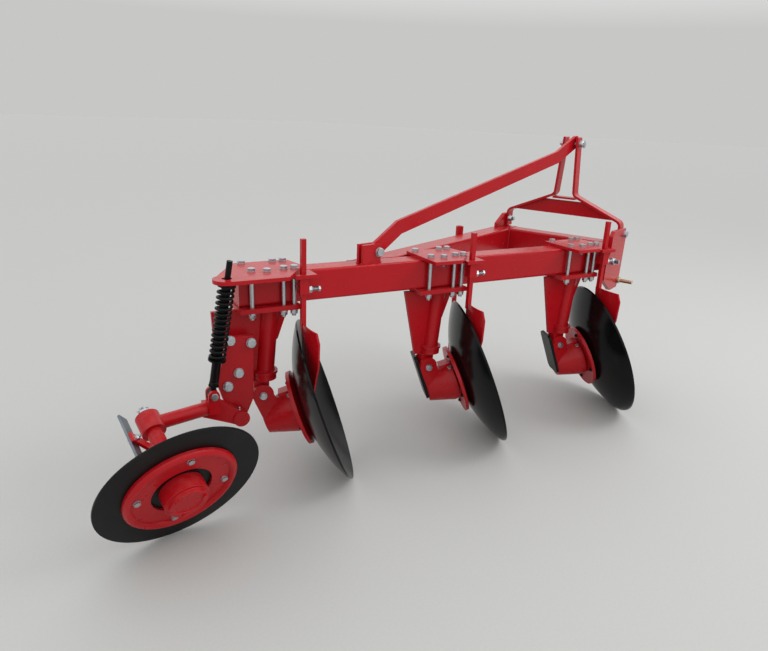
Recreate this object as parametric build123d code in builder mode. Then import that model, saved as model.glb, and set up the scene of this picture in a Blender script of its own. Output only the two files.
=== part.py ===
from build123d import *
import os
from math import cos, radians, sin, sqrt

os.makedirs("parts", exist_ok=True)

# Placing. X is forward, Y is left, Z is up, and the wheels stand on Z = 0.
STATION_X = 61.2
STATION_Y = 181.6
BEAM_YAW = -24.9

# Beams: one rectangular tube section for all three.
BEAM_W = 96.0
BEAM_H = 120.0
BEAM_WALL = 8.0
BEAM_CORNER = 10.0
MAIN_BEAM_L = 1960.0
MAIN_BORE_L = 1800.0
SIDE_BEAM_L = 1500.0
CROSS_BEAM_L = 900.0
BEAM_REAR = -728.0
FRONT_X = 1115.0
SIDE_RIGHT_Y = 60.0
END_PLATE = 8.0
LONG = 3000.0

# Three-point hitch, category 1.
HITCH_Y = -187.5
HITCH_HALF = 341.5
SHOULDER_T = 13.0
SHOULDER_R = 17.0
HITCH_PLATE_T = 20.0
HITCH_PLATE_L = 208.0
HITCH_TAIL_L = 42.0
HITCH_TAIL_Z = 30.0
LOWER_PIN_R = 11.0
LOWER_PIN_L = 62.0
LOWER_PIN_X = 1106.0
LOWER_PIN_Z = -132.0
PIN_EDGE = 24.0
SADDLE_REAR_X = 998.0
HITCH_OVER = 28.0
HITCH_TOP_Z = 128.0
HITCH_LOW_Z = -168.0
HITCH_HEEL_Z = -100.0
LOBE_CUT = 22.0
TOP_PIN_R = 9.5
TOP_PIN_Z = 510.0
TOP_PIN_L = 124.0
FIT_PLAY = 0.3

# Mast: two bent flat bars with a gusset between their arms.
BAR_W = 56.0
BAR_T = 12.0
BAR_BEND_R = 30.0
BAR_X = 1118.0
MAST_TOP_Z = 538.0
MAST_TOP_HALF = 33.0
MAST_BEND_Z = 258.0
MAST_BEND_HALF = 50.0
FOOT_TOP_Z = 150.0
GUSSET_T = 10.0
GUSSET_LOW_Z = 157.0
GUSSET_TOP_Z = 228.0

# Stay from the main beam to the mast top.
STAY_W = 58.0
STAY_T = 16.0
STAY_STATION = -150.0
STAY_HEAD_BACK = 6.0
STAY_HEAD_SIDE = 11.0
STAY_FOOT_POINT = (-36.0, 97.0)
STAY_LOW_BEND = (102.0, 187.0)
STAY_HIGH_BEND = (-135.0, 446.0)
STAY_HEAD_POINT = (8.0, 520.0)
STAY_CHEEK_T = 12.0
STAY_CHEEK_X = -50.0
STAY_CHEEK_W = 90.0
STAY_CHEEK_H = 75.0
STAY_BOLT = (-16.0, 102.0)
STAY_BOLT_R = 10.0

# Parking stand: a round leg in a sleeve on the side beam, held by a clamp screw.
STAND_X = 694.0
SLEEVE_R = 19.0
SLEEVE_TOP = 92.0
SLEEVE_LOW = -62.0
SLEEVE_PAD = 8.0
LEG_R = 12.5
LEG_PLAY = 0.4
LEG_TOP = 44.0
FOOT_W = 90.0
FOOT_T = 8.0
SCREW_R = 5.0
SCREW_Z = 0.0
SCREW_L = 34.0
SCREW_BAR_R = 3.5
SCREW_BAR_L = 60.0

# Clamps that hold the bodies.
CLAMP_T = 14.0
PLATE_T = 18.0
CLAMP_NEAR_Y = -148.0
CLAMP_FAR_Y = 80.0
CLAMP_REAR_NEAR_Y = -180.0
CLAMP_REAR_X = 26.0
CLAMP_TIP = (256.0, -34.0)
CLAMP_SLANT = 100.0
CLAMP_CORNER = 18.0
LOBE_HOLE_R = 17.0
LOBE_R = 48.0
STUD_R = 8.0
STUD_PLAY = 0.3
STUD_Y = 62.0
STUD_X = (57.0, 175.0, 215.0)
STUD_OVER = 26.0
STUD_ABOVE = 12.0

# Standards, the legs that carry the discs.
LEG_FLANGE_X = (9.0, 235.0)
LEG_FLANGE_W = 158.0
TUBE_X = 118.0
TUBE_TOP_X = 142.0
TUBE_R = 35.0
TUBE_SET = 8.0
WEB_T = 14.0
COLLAR_R = 49.0
COLLAR_Z = -338.0
COLLAR_T = 10.0
NECK_R = 44.0
NECK_Z = -362.0
WEB_REAR = ((-22.0, 0.0),)
WEB_REAR_WIDE = ((-76.0, 0.0), (-72.0, -170.0), (-30.0, -300.0))
WEB_FOOT_X = 42.0
WEB_FRONT = ((158.0, -216.0), (170.0, -207.0), (208.0, -100.0))
TONGUE_T = 39.4
TONGUE_R = 30.0
TONGUE_X = 99.0
TONGUE_Z = -421.0
CHEEK_GAP = 40.0
CHEEK_T = 16.0
CHEEK_R = 43.0
CHEEK_BOLT_R = 12.0
CHEEK_FOOT = ((94.0, -100.0), (8.0, -116.0))

# Discs and their hubs.
DISC_R = 330.0
DISC_T = 6.0
DISC_SPHERE_R = 610.0
DISC_FLAT_R = 112.0
DISC_BEVEL = 3.0
DISC_AT = (345.0, -68.0, -461.0)
DISC_AZ = -45.3
DISC_EL = 20.0
FLANGE_R = 150.0
FLANGE_T = 18.0
FLANGE_RIM_T = 14.0
FLANGE_SEAT_R = 96.0
HOUSING_R = 88.0
HOUSING_BACK_R = 56.0
HOUSING_LIP = 26.0
HOUSING_END = -250.0
HOUSING_LUG_W = 54.0
HOUSING_LUG_TOP = 95.0
HOUSING_LUG_L = 50.0
SHAFT_R = 35.0
SHAFT_L = 100.0
RUN_GAP = 0.05
BODY_GAP = 5.0
BACK_PLATE_T = 13.0
BACK_PLATE_W = 116.0
BACK_PLATE_LOW = -24.0
BACK_PLATE_TOP = 184.0
BACK_PLATE_X = -8.0
BACK_PLATE_CORNER = 24.0

# Scrapers.
ROD_W = 18.0
ROD_X = 236.0
ROD_Y = -98.0
ROD_LOW = -150.0
HOLDER_T = 14.0
HOLDER_X = 196.0
HOLDER_L = 84.0
HOLDER_W = 78.0
HOLDER_LOW = -14.0
HOLDER_SLEEVE = 36.0
BLADE_T = 6.0
BLADE_LEAN = 18.0
BLADE_TOP = 345.0
BLADE_OUT = 30.0
BLADE_CURVE = ((-46.0, -4.0), (-130.0, 4.0), (-208.0, 30.0))
BLADE_OUTLINE = (
    (-46.0, 360.0),
    (-100.0, 346.0),
    (-190.0, 350.0),
    (-207.0, 300.0),
    (-200.0, 215.0),
    (-150.0, 72.0),
    (-64.0, 110.0),
)

# Furrow wheel.
WHEEL_X = -1078.0
WHEEL_Y = 105.0
WHEEL_AZ = -104.4
WHEEL_EL = -25.2
WHEEL_R = 268.0
RIM_T = 8.0
RING_R = 185.0
RING_IN = 98.0
RING_T = 10.0
RING_LIP = (157.0, 184.0)
RING_LIP_H = 12.0
RING_LIP_R = 9.0
HUB_R = 72.0
HUB_FRONT = 75.0
HUB_BACK = -62.0
HUB_CAP = 20.0
HUB_CAP_R = 62.0
HUB_CAP_STEP = 14.0
HUB_DISH_R = 44.0
HUB_DISH = 4.0
HUB_FLANGE_R = 166.0
AXLE_R = 25.0
AXLE_END = -332.0
AXLE_COLLAR = 2.0
BOSS_R = 41.0
BOSS_NEAR = -226.0
BOSS_FAR = -298.0
PIVOT_X = -745.0
PIVOT_Y = -100.0
PIVOT_Z = -469.0
PIVOT_R = 30.0
PIVOT_BOLT_R = 14.0
ARM_ROUND_R = 25.0
ELBOW = (-856.0, -84.0, -408.0)
BARREL_L = 42.0
LINK_T = 34.0
LINK_OUTLINE = ((-812.0, -392.0), (-880.0, -384.0), (-886.0, -436.0), (-800.0, -474.0))
LUG_BASE = 50.0
BRACKET_T = 20.0
BRACKET_OFF = 3.3
BRACKET_OUTLINE = (
    (-681.0, -166.0),
    (-783.0, -160.0),
    (-785.0, -198.0),
    (-820.0, -336.0),
    (-806.0, -381.0),
    (-776.0, -483.0),
    (-723.0, -495.0),
    (-687.0, -412.0),
)
BLOCK_OUTLINE = ((-695.0, -176.0), (-775.0, -176.0), (-775.0, -330.0), (-700.0, -345.0))

# Spring of the furrow wheel.
SPRING_TOP = (-790.0, -132.0)
SPRING_LOW = (-846.0, -92.0, -353.0)
EYE_T = 24.0
EYE_R = 18.0
LUG_T = 12.0
LUG_R = 20.0
CLEVIS_R = 8.0
SEAT_R = 31.0
SEAT_T = 7.0
SPRING_ROD_R = 10.0
SPRING_ROD_OVER = 76.0
COIL_R = 25.0
COIL_WIRE = 5.0
COIL_TURNS = 13
COIL_LOW = 144.0
SEAT_DROP = 6.0
SPRING_SLEEVE_R = 16.0
SLEEVE_FOOT = 52.0

# Scraper of the furrow wheel.
SCRAPE_TURN = 128.3
SCRAPE_R = (170.0, 212.0)
SCRAPE_Z = (-205.0, -10.0)
SCRAPE_T = 8.0
SCRAPE_RING_R = 44.0
SCRAPE_LUG_Z = -126.0
SCRAPE_LUG_W = 34.0
SCRAPE_LUG_T = 10.0


def moved(frame, x=0.0, y=0.0, z=0.0):
    """The same axes with the origin moved along them."""
    return Plane(origin=frame.from_local_coords((x, y, z)), x_dir=frame.x_dir, z_dir=frame.z_dir)


def upright(frame, x=0.0, y=0.0, z=0.0):
    """A sketch plane that faces the frame's right-hand side, with its own y going up."""
    return Plane(origin=frame.from_local_coords((x, y, z)), x_dir=frame.x_dir, z_dir=-frame.y_dir)


def facing_back(frame, x=0.0, y=0.0, z=0.0):
    """A sketch plane across the frame: its own x goes left, its y goes up, it faces forward."""
    return Plane(origin=frame.from_local_coords((x, y, z)), x_dir=frame.y_dir, z_dir=frame.x_dir)


def aimed(frame, at, azimuth, elevation):
    """Axes at a point of the frame with z along a compass direction and a slope."""
    flat = cos(radians(elevation))
    z_dir = (flat * cos(radians(azimuth)), flat * sin(radians(azimuth)), sin(radians(elevation)))
    x_dir = (-sin(radians(azimuth)), cos(radians(azimuth)), 0)
    return Plane(origin=frame.from_local_coords(at), x_dir=x_dir, z_dir=z_dir)


def swung(frame, about, degrees):
    """The same axes turned about the upright line through a point."""
    turn = Axis.Z
    offset_from = (frame.origin - about).rotate(turn, degrees)
    return Plane(
        origin=about + offset_from, x_dir=frame.x_dir.rotate(turn, degrees), z_dir=frame.z_dir.rotate(turn, degrees)
    )


def save(piece, name):
    piece.part.label = name
    export_step(piece.part, f"parts/{name}.step")


BEAM_Z = DISC_R * cos(radians(DISC_EL)) - DISC_AT[2]
SQUARE = Plane(origin=(STATION_X, STATION_Y, BEAM_Z), x_dir=(1, 0, 0), z_dir=(0, 0, 1))
BEAM = Plane(
    origin=SQUARE.origin, x_dir=(cos(radians(BEAM_YAW)), sin(radians(BEAM_YAW)), 0), z_dir=(0, 0, 1)
)
HITCH_FRONT_X = FRONT_X + HITCH_OVER
HALF_W = BEAM_W / 2
HALF_H = BEAM_H / 2
LOW_END = (Align.CENTER, Align.CENTER, Align.MIN)
HIGH_END = (Align.CENTER, Align.CENTER, Align.MAX)
FROM_CORNER = (Align.MIN, Align.MIN, Align.CENTER)
RIGHT_OUT_Y = HITCH_Y - HITCH_HALF + SHOULDER_T
RIGHT_IN_Y = RIGHT_OUT_Y + HITCH_PLATE_T
LEFT_OUT_Y = HITCH_Y + HITCH_HALF - SHOULDER_T
LEFT_IN_Y = LEFT_OUT_Y - HITCH_PLATE_T
SIDE_LEFT_Y = SIDE_RIGHT_Y + BEAM_W
CROSS_REAR_X = FRONT_X - BEAM_W

def tube(section, length, bore_from, bore_length):
    """Rounded rectangular tube that starts on a plane across it, with its bore set back from its end."""
    with BuildSketch(section) as outside:
        RectangleRounded(BEAM_W, BEAM_H, BEAM_CORNER)
    extrude(outside.sketch, amount=length)
    with BuildSketch(section.offset(bore_from)) as inside:
        RectangleRounded(BEAM_W - 2 * BEAM_WALL, BEAM_H - 2 * BEAM_WALL, BEAM_CORNER - BEAM_WALL)
    extrude(inside.sketch, amount=bore_length, mode=Mode.SUBTRACT)


def cut_beyond(frame, y):
    """Cuts all that lies to the right of a line along the frame."""
    with BuildSketch(frame.offset(-BEAM_H)) as waste:
        with Locations((0, y)):
            Rectangle(2 * LONG, LONG, align=(Align.CENTER, Align.MAX))
    extrude(waste.sketch, amount=2 * BEAM_H, mode=Mode.SUBTRACT)


# Main beam, cut square to the tractor at its front end.
with BuildPart() as main_beam:
    tube(facing_back(BEAM, BEAM_REAR, 0, 0), MAIN_BEAM_L, END_PLATE, MAIN_BORE_L)
    with BuildSketch(SQUARE.offset(-BEAM_H)):
        with Locations((FRONT_X, -LONG / 2)):
            Rectangle(LONG, LONG, align=(Align.MIN, Align.MIN))
    extrude(amount=2 * BEAM_H, mode=Mode.SUBTRACT)
    cut_beyond(SQUARE, RIGHT_IN_Y)
save(main_beam, "main_beam")

# Side beam, parallel to the tractor's travel, mitred to the main beam.
with BuildPart() as side_beam:
    side_rear_x = FRONT_X - SIDE_BEAM_L
    tube(facing_back(SQUARE, side_rear_x, SIDE_RIGHT_Y + HALF_W, 0), SIDE_BEAM_L, 0, SIDE_BEAM_L - END_PLATE)
    cut_beyond(BEAM, HALF_W)
save(side_beam, "side_beam")

# Cross beam at the front, from the side beam to the main beam.
with BuildPart() as cross_beam:
    tube(upright(SQUARE, CROSS_REAR_X + HALF_W, SIDE_RIGHT_Y, 0), CROSS_BEAM_L, 0, CROSS_BEAM_L)
    cut_beyond(BEAM, HALF_W)
save(cross_beam, "cross_beam")

# Hitch plates. The right one closes the main beam's end, the left one saddles the side beam.
PLATE_REAR_X = HITCH_FRONT_X - HITCH_PLATE_L
PIN_FRONT_X = LOWER_PIN_X + PIN_EDGE
with BuildPart() as hitch_plate_right:
    with BuildSketch(upright(SQUARE, 0, RIGHT_IN_Y, 0)):
        with BuildLine():
            Polyline(
                (PLATE_REAR_X, HITCH_TOP_Z - LOBE_CUT),
                (PLATE_REAR_X, HITCH_TAIL_Z),
                (PLATE_REAR_X - HITCH_TAIL_L, HITCH_TAIL_Z - HITCH_TAIL_L),
                (PLATE_REAR_X - HITCH_TAIL_L, HITCH_HEEL_Z),
                (LOWER_PIN_X - 4 * PIN_EDGE, HITCH_LOW_Z),
                (LOWER_PIN_X, HITCH_LOW_Z),
                (PIN_FRONT_X, LOWER_PIN_Z),
                (HITCH_FRONT_X, HITCH_TOP_Z - 2 * LOBE_CUT),
                (HITCH_FRONT_X - LOBE_CUT, HITCH_TOP_Z),
                (PLATE_REAR_X + LOBE_CUT, HITCH_TOP_Z),
                close=True,
            )
        make_face()
        with Locations((LOWER_PIN_X, LOWER_PIN_Z)):
            Circle(LOWER_PIN_R, mode=Mode.SUBTRACT)
    extrude(amount=HITCH_PLATE_T)
save(hitch_plate_right, "hitch_plate_right")

with BuildPart() as hitch_plate_left:
    with BuildSketch(upright(SQUARE, 0, LEFT_OUT_Y, 0)):
        with BuildLine():
            Polyline(
                (SADDLE_REAR_X, HALF_H),
                (SADDLE_REAR_X, HALF_H + LOBE_CUT),
                (HITCH_FRONT_X - 3 * LOBE_CUT, HITCH_TOP_Z),
                (HITCH_FRONT_X - LOBE_CUT, HITCH_TOP_Z),
                (HITCH_FRONT_X, HITCH_TOP_Z - LOBE_CUT),
                (PIN_FRONT_X, LOWER_PIN_Z),
                (LOWER_PIN_X, HITCH_LOW_Z),
                (SADDLE_REAR_X + LOBE_CUT, HITCH_LOW_Z),
                (SADDLE_REAR_X, HITCH_LOW_Z + LOBE_CUT),
                (SADDLE_REAR_X, -HALF_H),
                (FRONT_X, -HALF_H),
                (FRONT_X, HALF_H),
                close=True,
            )
        make_face()
        with Locations((LOWER_PIN_X, LOWER_PIN_Z)):
            Circle(LOWER_PIN_R, mode=Mode.SUBTRACT)
    extrude(amount=HITCH_PLATE_T)
save(hitch_plate_left, "hitch_plate_left")

# Lower hitch pins: shank through the plate, shoulder outside, pin beyond it.
for side, out_y, way in (("right", RIGHT_OUT_Y, -1), ("left", LEFT_OUT_Y, 1)):
    shoulder = Plane(
        origin=SQUARE.from_local_coords((LOWER_PIN_X, out_y, LOWER_PIN_Z)), x_dir=(1, 0, 0), z_dir=(0, way, 0)
    )
    with BuildPart(shoulder) as lower_pin:
        with Locations((0, 0, -HITCH_PLATE_T)):
            Cylinder(LOWER_PIN_R, HITCH_PLATE_T + SHOULDER_T + LOWER_PIN_L, align=LOW_END)
        Cylinder(SHOULDER_R, SHOULDER_T, align=LOW_END)
    save(lower_pin, f"lower_pin_{side}")

# Mast bars: foot, sloping arm, upright.
for side, way, in_y in (("right", -1, RIGHT_IN_Y), ("left", 1, LEFT_IN_Y)):
    with BuildPart() as mast_bar:
        with BuildSketch(facing_back(SQUARE, BAR_X - BAR_W / 2, 0, 0)):
            with BuildLine():
                bar_line = FilletPolyline(
                    (in_y - way * BAR_T / 2, HALF_H + BAR_T / 2),
                    (in_y - way * BAR_T / 2, FOOT_TOP_Z),
                    (HITCH_Y + way * MAST_BEND_HALF, MAST_BEND_Z),
                    (HITCH_Y + way * MAST_TOP_HALF, MAST_TOP_Z),
                    radius=BAR_BEND_R,
                )
                offset(bar_line, amount=BAR_T / 2, side=Side.BOTH, kind=Kind.INTERSECTION)
            make_face()
        extrude(amount=BAR_W)
        with BuildSketch(upright(SQUARE, BAR_X, HITCH_Y, TOP_PIN_Z)):
            Circle(TOP_PIN_R)
        extrude(amount=TOP_PIN_L, both=True, mode=Mode.SUBTRACT)
    save(mast_bar, f"mast_bar_{side}")

# Gusset between the two arms.
ARM_RUN = LEFT_IN_Y - BAR_T / 2 - HITCH_Y - MAST_BEND_HALF
ARM_RISE = MAST_BEND_Z - FOOT_TOP_Z
ARM_LENGTH = sqrt(ARM_RUN**2 + ARM_RISE**2)
ARM_DROP = BAR_T / 2 * ARM_LENGTH / ARM_RUN


def arm_half(z):
    """Half width between the arms' lower faces at a height."""
    return MAST_BEND_HALF + ARM_RUN * (MAST_BEND_Z - ARM_DROP - z) / ARM_RISE


with BuildPart() as mast_gusset:
    with BuildSketch(facing_back(SQUARE, BAR_X - GUSSET_T / 2, HITCH_Y, 0)):
        with BuildLine():
            Polyline(
                (-arm_half(GUSSET_LOW_Z), GUSSET_LOW_Z),
                (arm_half(GUSSET_LOW_Z), GUSSET_LOW_Z),
                (arm_half(GUSSET_TOP_Z), GUSSET_TOP_Z),
                (-arm_half(GUSSET_TOP_Z), GUSSET_TOP_Z),
                close=True,
            )
        make_face()
    extrude(amount=GUSSET_T)
save(mast_gusset, "mast_gusset")

# Top link pin through both bars.
with BuildPart(upright(SQUARE, BAR_X, HITCH_Y + TOP_PIN_L / 2, TOP_PIN_Z)) as top_pin:
    Cylinder(TOP_PIN_R, TOP_PIN_L, align=LOW_END)
save(top_pin, "top_pin")

# Stay: a flat bar, cranked at both ends, from a bracket on the main beam to the mast.
STAY_FOOT = BEAM.from_local_coords((STAY_STATION, 0, 0))
stay_foot = SQUARE.to_local_coords(STAY_FOOT)
run_x = BAR_X - STAY_HEAD_BACK - stay_foot.X
run_y = HITCH_Y - STAY_HEAD_SIDE - stay_foot.Y
stay_run = sqrt(run_x**2 + run_y**2)
STAY = Plane(origin=STAY_FOOT, x_dir=(run_x / stay_run, run_y / stay_run, 0), z_dir=(0, 0, 1))
with BuildPart() as mast_stay:
    with BuildSketch(upright(STAY, 0, STAY_T / 2, 0)):
        with BuildLine():
            stay_line = Polyline(
                STAY_FOOT_POINT,
                STAY_LOW_BEND,
                (stay_run + STAY_HIGH_BEND[0], STAY_HIGH_BEND[1]),
                (stay_run + STAY_HEAD_POINT[0], STAY_HEAD_POINT[1]),
            )
            offset(stay_line, amount=STAY_W / 2, side=Side.BOTH, kind=Kind.INTERSECTION)
        make_face()
        with Locations((0, HALF_H)):
            Rectangle(LONG, LONG, align=(Align.CENTER, Align.MAX), mode=Mode.SUBTRACT)
        with Locations(STAY_BOLT):
            Circle(STAY_BOLT_R, mode=Mode.SUBTRACT)
    extrude(amount=STAY_T)
    with BuildSketch(upright(SQUARE, BAR_X, HITCH_Y, TOP_PIN_Z)):
        Circle(TOP_PIN_R + FIT_PLAY)
    extrude(amount=TOP_PIN_L, both=True, mode=Mode.SUBTRACT)
save(mast_stay, "mast_stay")
with BuildPart() as stay_bracket:
    for cheek_y in (-STAY_T / 2, STAY_T / 2 + STAY_CHEEK_T):
        with BuildSketch(upright(STAY, 0, cheek_y, 0)):
            with Locations((STAY_CHEEK_X, HALF_H)):
                Rectangle(STAY_CHEEK_W, STAY_CHEEK_H, align=(Align.CENTER, Align.MIN))
            with Locations(STAY_BOLT):
                Circle(STAY_BOLT_R, mode=Mode.SUBTRACT)
        extrude(amount=STAY_CHEEK_T)
save(stay_bracket, "stay_bracket")
with BuildPart(upright(STAY, STAY_BOLT[0], STAY_T / 2 + STAY_CHEEK_T, STAY_BOLT[1])) as stay_bolt:
    Cylinder(STAY_BOLT_R, STAY_T + 2 * STAY_CHEEK_T, align=LOW_END)
save(stay_bolt, "stay_bolt")

# Parking stand on the side beam: sleeve with a pad, leg with a foot, clamp screw.
STAND_Y = SIDE_LEFT_Y + SLEEVE_R + SLEEVE_PAD / 2
with BuildPart(moved(SQUARE, STAND_X, STAND_Y, 0)) as stand_sleeve:
    with Locations((0, 0, SLEEVE_LOW)):
        Cylinder(SLEEVE_R, SLEEVE_TOP - SLEEVE_LOW, align=LOW_END)
    with Locations((0, SIDE_LEFT_Y - STAND_Y, 0)):
        Box(2 * SLEEVE_R, SLEEVE_R, HALF_H, align=(Align.CENTER, Align.MIN, Align.CENTER))
    with Locations((0, 0, SLEEVE_LOW)):
        Cylinder(LEG_R + LEG_PLAY, SLEEVE_TOP - SLEEVE_LOW, align=LOW_END, mode=Mode.SUBTRACT)
    with BuildSketch(upright(SQUARE, STAND_X, STAND_Y + LONG / 2, SCREW_Z)):
        Circle(SCREW_R)
    extrude(amount=LONG / 2, mode=Mode.SUBTRACT)
save(stand_sleeve, "stand_sleeve")
with BuildPart(moved(SQUARE, STAND_X, STAND_Y, -BEAM_Z)) as parking_stand:
    Box(FOOT_W, FOOT_W, FOOT_T, align=(Align.CENTER, Align.CENTER, Align.MIN))
    Cylinder(LEG_R, BEAM_Z + LEG_TOP, align=LOW_END)
save(parking_stand, "parking_stand")
screw_tip = LEG_R + LEG_PLAY
with BuildPart() as stand_screw:
    with BuildSketch(upright(SQUARE, STAND_X, STAND_Y + screw_tip + SCREW_L, SCREW_Z)):
        Circle(SCREW_R)
    extrude(amount=SCREW_L)
    with BuildSketch(moved(SQUARE, STAND_X, STAND_Y + screw_tip + SCREW_L - SCREW_R, SCREW_Z - SCREW_BAR_L / 2)):
        Circle(SCREW_BAR_R)
    extrude(amount=SCREW_BAR_L)
save(stand_screw, "stand_screw")

BODIES = (
    # name, station along the main beam, top of the scraper's rod, turn of its blade about the rod
    ("front", 757.0, 186.0, 4.0),
    ("middle", 0.0, 171.0, 0.0),
    ("rear", -742.0, 186.0, 9.0),
)
STUDS = [(x, y) for x in STUD_X for y in (-STUD_Y, STUD_Y)]


def sphere_rise(radius):
    """Height of the dish's sphere over its own centre at a radius."""
    return sqrt(DISC_SPHERE_R**2 - radius**2)


DISC_DEPTH = sphere_rise(DISC_FLAT_R) - sphere_rise(DISC_R)
DISC_MID_R = (DISC_FLAT_R + DISC_R) / 2
DISC_MID_DEPTH = sphere_rise(DISC_MID_R) - sphere_rise(DISC_R)
FLANGE_BACK = -DISC_DEPTH - DISC_T - FLANGE_T
FLANGE_MID_R = (DISC_FLAT_R + FLANGE_R) / 2
FLANGE_MID_Z = sphere_rise(FLANGE_MID_R) - sphere_rise(DISC_FLAT_R)
FLANGE_RIM_Z = sphere_rise(FLANGE_R) - sphere_rise(DISC_FLAT_R)
HUB_SEAT = FLANGE_BACK - BODY_GAP

for name, station, rod_top, blade_turn in BODIES:
    body = moved(BEAM, station, 0, 0)
    disc_axis = aimed(body, DISC_AT, DISC_AZ, DISC_EL)
    # Clamp plate over the beam. The rear one has a round lobe for the spring rod.
    with BuildPart() as clamp_plate:
        with BuildSketch(moved(body, 0, 0, HALF_H)):
            if name == "rear":
                lobe_x = SPRING_TOP[0] - station
                lobe_y = SPRING_TOP[1]
                with BuildLine():
                    Polyline(
                        (lobe_x, CLAMP_REAR_NEAR_Y),
                        (CLAMP_TIP[0] - CLAMP_SLANT, CLAMP_REAR_NEAR_Y),
                        CLAMP_TIP,
                        (CLAMP_TIP[0], 0),
                        (CLAMP_TIP[0] - CLAMP_CORNER, CLAMP_FAR_Y),
                        (CLAMP_REAR_X, CLAMP_FAR_Y),
                        (lobe_x - LOBE_R / 2, lobe_y + LOBE_R * sqrt(3) / 2),
                        close=True,
                    )
                make_face()
                with Locations((lobe_x, lobe_y)):
                    Circle(LOBE_R)
                    Circle(LOBE_HOLE_R, mode=Mode.SUBTRACT)
            else:
                with BuildLine():
                    Polyline(
                        (CLAMP_REAR_X, CLAMP_NEAR_Y),
                        (CLAMP_TIP[0] - CLAMP_SLANT, CLAMP_NEAR_Y),
                        CLAMP_TIP,
                        (CLAMP_TIP[0], 0),
                        (CLAMP_TIP[0] - CLAMP_CORNER, CLAMP_FAR_Y),
                        (CLAMP_REAR_X, CLAMP_FAR_Y),
                        close=True,
                    )
                make_face()
            with Locations(*STUDS):
                Circle(STUD_R + STUD_PLAY, mode=Mode.SUBTRACT)
        extrude(amount=CLAMP_T)
    save(clamp_plate, f"clamp_plate_{name}")
    # Through studs beside the beam.
    stud_low = -HALF_H - PLATE_T - STUD_OVER
    stud_top = HALF_H + CLAMP_T + STUD_ABOVE
    with BuildPart(moved(body, 0, 0, stud_low)) as clamp_studs:
        with Locations(*[(x, y, 0) for x, y in STUDS]):
            Cylinder(STUD_R, stud_top - stud_low, align=LOW_END)
    save(clamp_studs, f"clamp_studs_{name}")
    # Standard: flange, tube, tapered web, collar, neck and tongue.
    web_rear = WEB_REAR_WIDE if name == "rear" else WEB_REAR
    with BuildPart() as standard:
        with BuildSketch(moved(body, 0, 0, -HALF_H - PLATE_T)):
            with Locations((LEG_FLANGE_X[0], 0)):
                Rectangle(
                    LEG_FLANGE_X[1] - LEG_FLANGE_X[0], LEG_FLANGE_W, align=(Align.MIN, Align.CENTER)
                )
            with Locations(*STUDS):
                Circle(STUD_R + STUD_PLAY, mode=Mode.SUBTRACT)
        extrude(amount=PLATE_T)
        tube_foot = body.from_local_coords((TUBE_X, 0, COLLAR_Z))
        tube_lean = body.from_local_coords((TUBE_TOP_X, 0, -HALF_H - TUBE_SET)) - tube_foot
        with BuildSketch(Plane(origin=tube_foot, x_dir=body.y_dir, z_dir=tube_lean)):
            Circle(TUBE_R)
        extrude(amount=tube_lean.length)
        with BuildSketch(upright(body, 0, WEB_T / 2, 0)):
            with BuildLine():
                Polyline(
                    (web_rear[0][0], -HALF_H - PLATE_T),
                    *web_rear[1:],
                    (WEB_FOOT_X, NECK_Z),
                    (TUBE_X, NECK_Z),
                    (TUBE_X, WEB_FRONT[0][1]),
                    *WEB_FRONT,
                    (WEB_FRONT[-1][0], -HALF_H - PLATE_T),
                    close=True,
                )
            make_face()
        extrude(amount=WEB_T)
        with BuildSketch(moved(body, TUBE_X, 0, COLLAR_Z)):
            Circle(COLLAR_R)
        extrude(amount=COLLAR_T)
        with BuildSketch(moved(body, TUBE_X, 0, NECK_Z)):
            Circle(NECK_R)
        extrude(amount=COLLAR_Z - NECK_Z)
        with BuildSketch(upright(body, TONGUE_X, TONGUE_T / 2, TONGUE_Z)):
            Circle(TONGUE_R)
            Rectangle(2 * TONGUE_R, NECK_Z - TONGUE_Z, align=(Align.CENTER, Align.MIN))
            Circle(CHEEK_BOLT_R, mode=Mode.SUBTRACT)
        extrude(amount=TONGUE_T)
        if name != "rear":
            with BuildSketch(moved(disc_axis, BACK_PLATE_X, BACK_PLATE_LOW, HOUSING_END - BACK_PLATE_T)):
                Rectangle(BACK_PLATE_W, BACK_PLATE_TOP - BACK_PLATE_LOW, align=(Align.CENTER, Align.MIN))
            extrude(amount=BACK_PLATE_T, mode=Mode.SUBTRACT)
    save(standard, f"standard_{name}")
    # Disc: flat middle, then a part of a sphere, concave side forward.
    half_section = Plane(origin=disc_axis.origin, x_dir=disc_axis.x_dir, z_dir=-disc_axis.y_dir)
    with BuildPart() as disc:
        with BuildSketch(half_section):
            with BuildLine():
                Polyline(
                    (DISC_FLAT_R, -DISC_DEPTH),
                    (0, -DISC_DEPTH),
                    (0, -DISC_DEPTH - DISC_T),
                    (DISC_FLAT_R, -DISC_DEPTH - DISC_T),
                )
                ThreePointArc(
                    (DISC_FLAT_R, -DISC_DEPTH - DISC_T),
                    (DISC_MID_R, -DISC_MID_DEPTH - DISC_T),
                    (DISC_R - DISC_BEVEL, -DISC_T),
                )
                Line((DISC_R - DISC_BEVEL, -DISC_T), (DISC_R, 0))
                ThreePointArc((DISC_R, 0), (DISC_MID_R, -DISC_MID_DEPTH), (DISC_FLAT_R, -DISC_DEPTH))
            make_face()
        revolve(axis=Axis(disc_axis.origin, disc_axis.z_dir))
    save(disc, f"disc_{name}")
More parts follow.
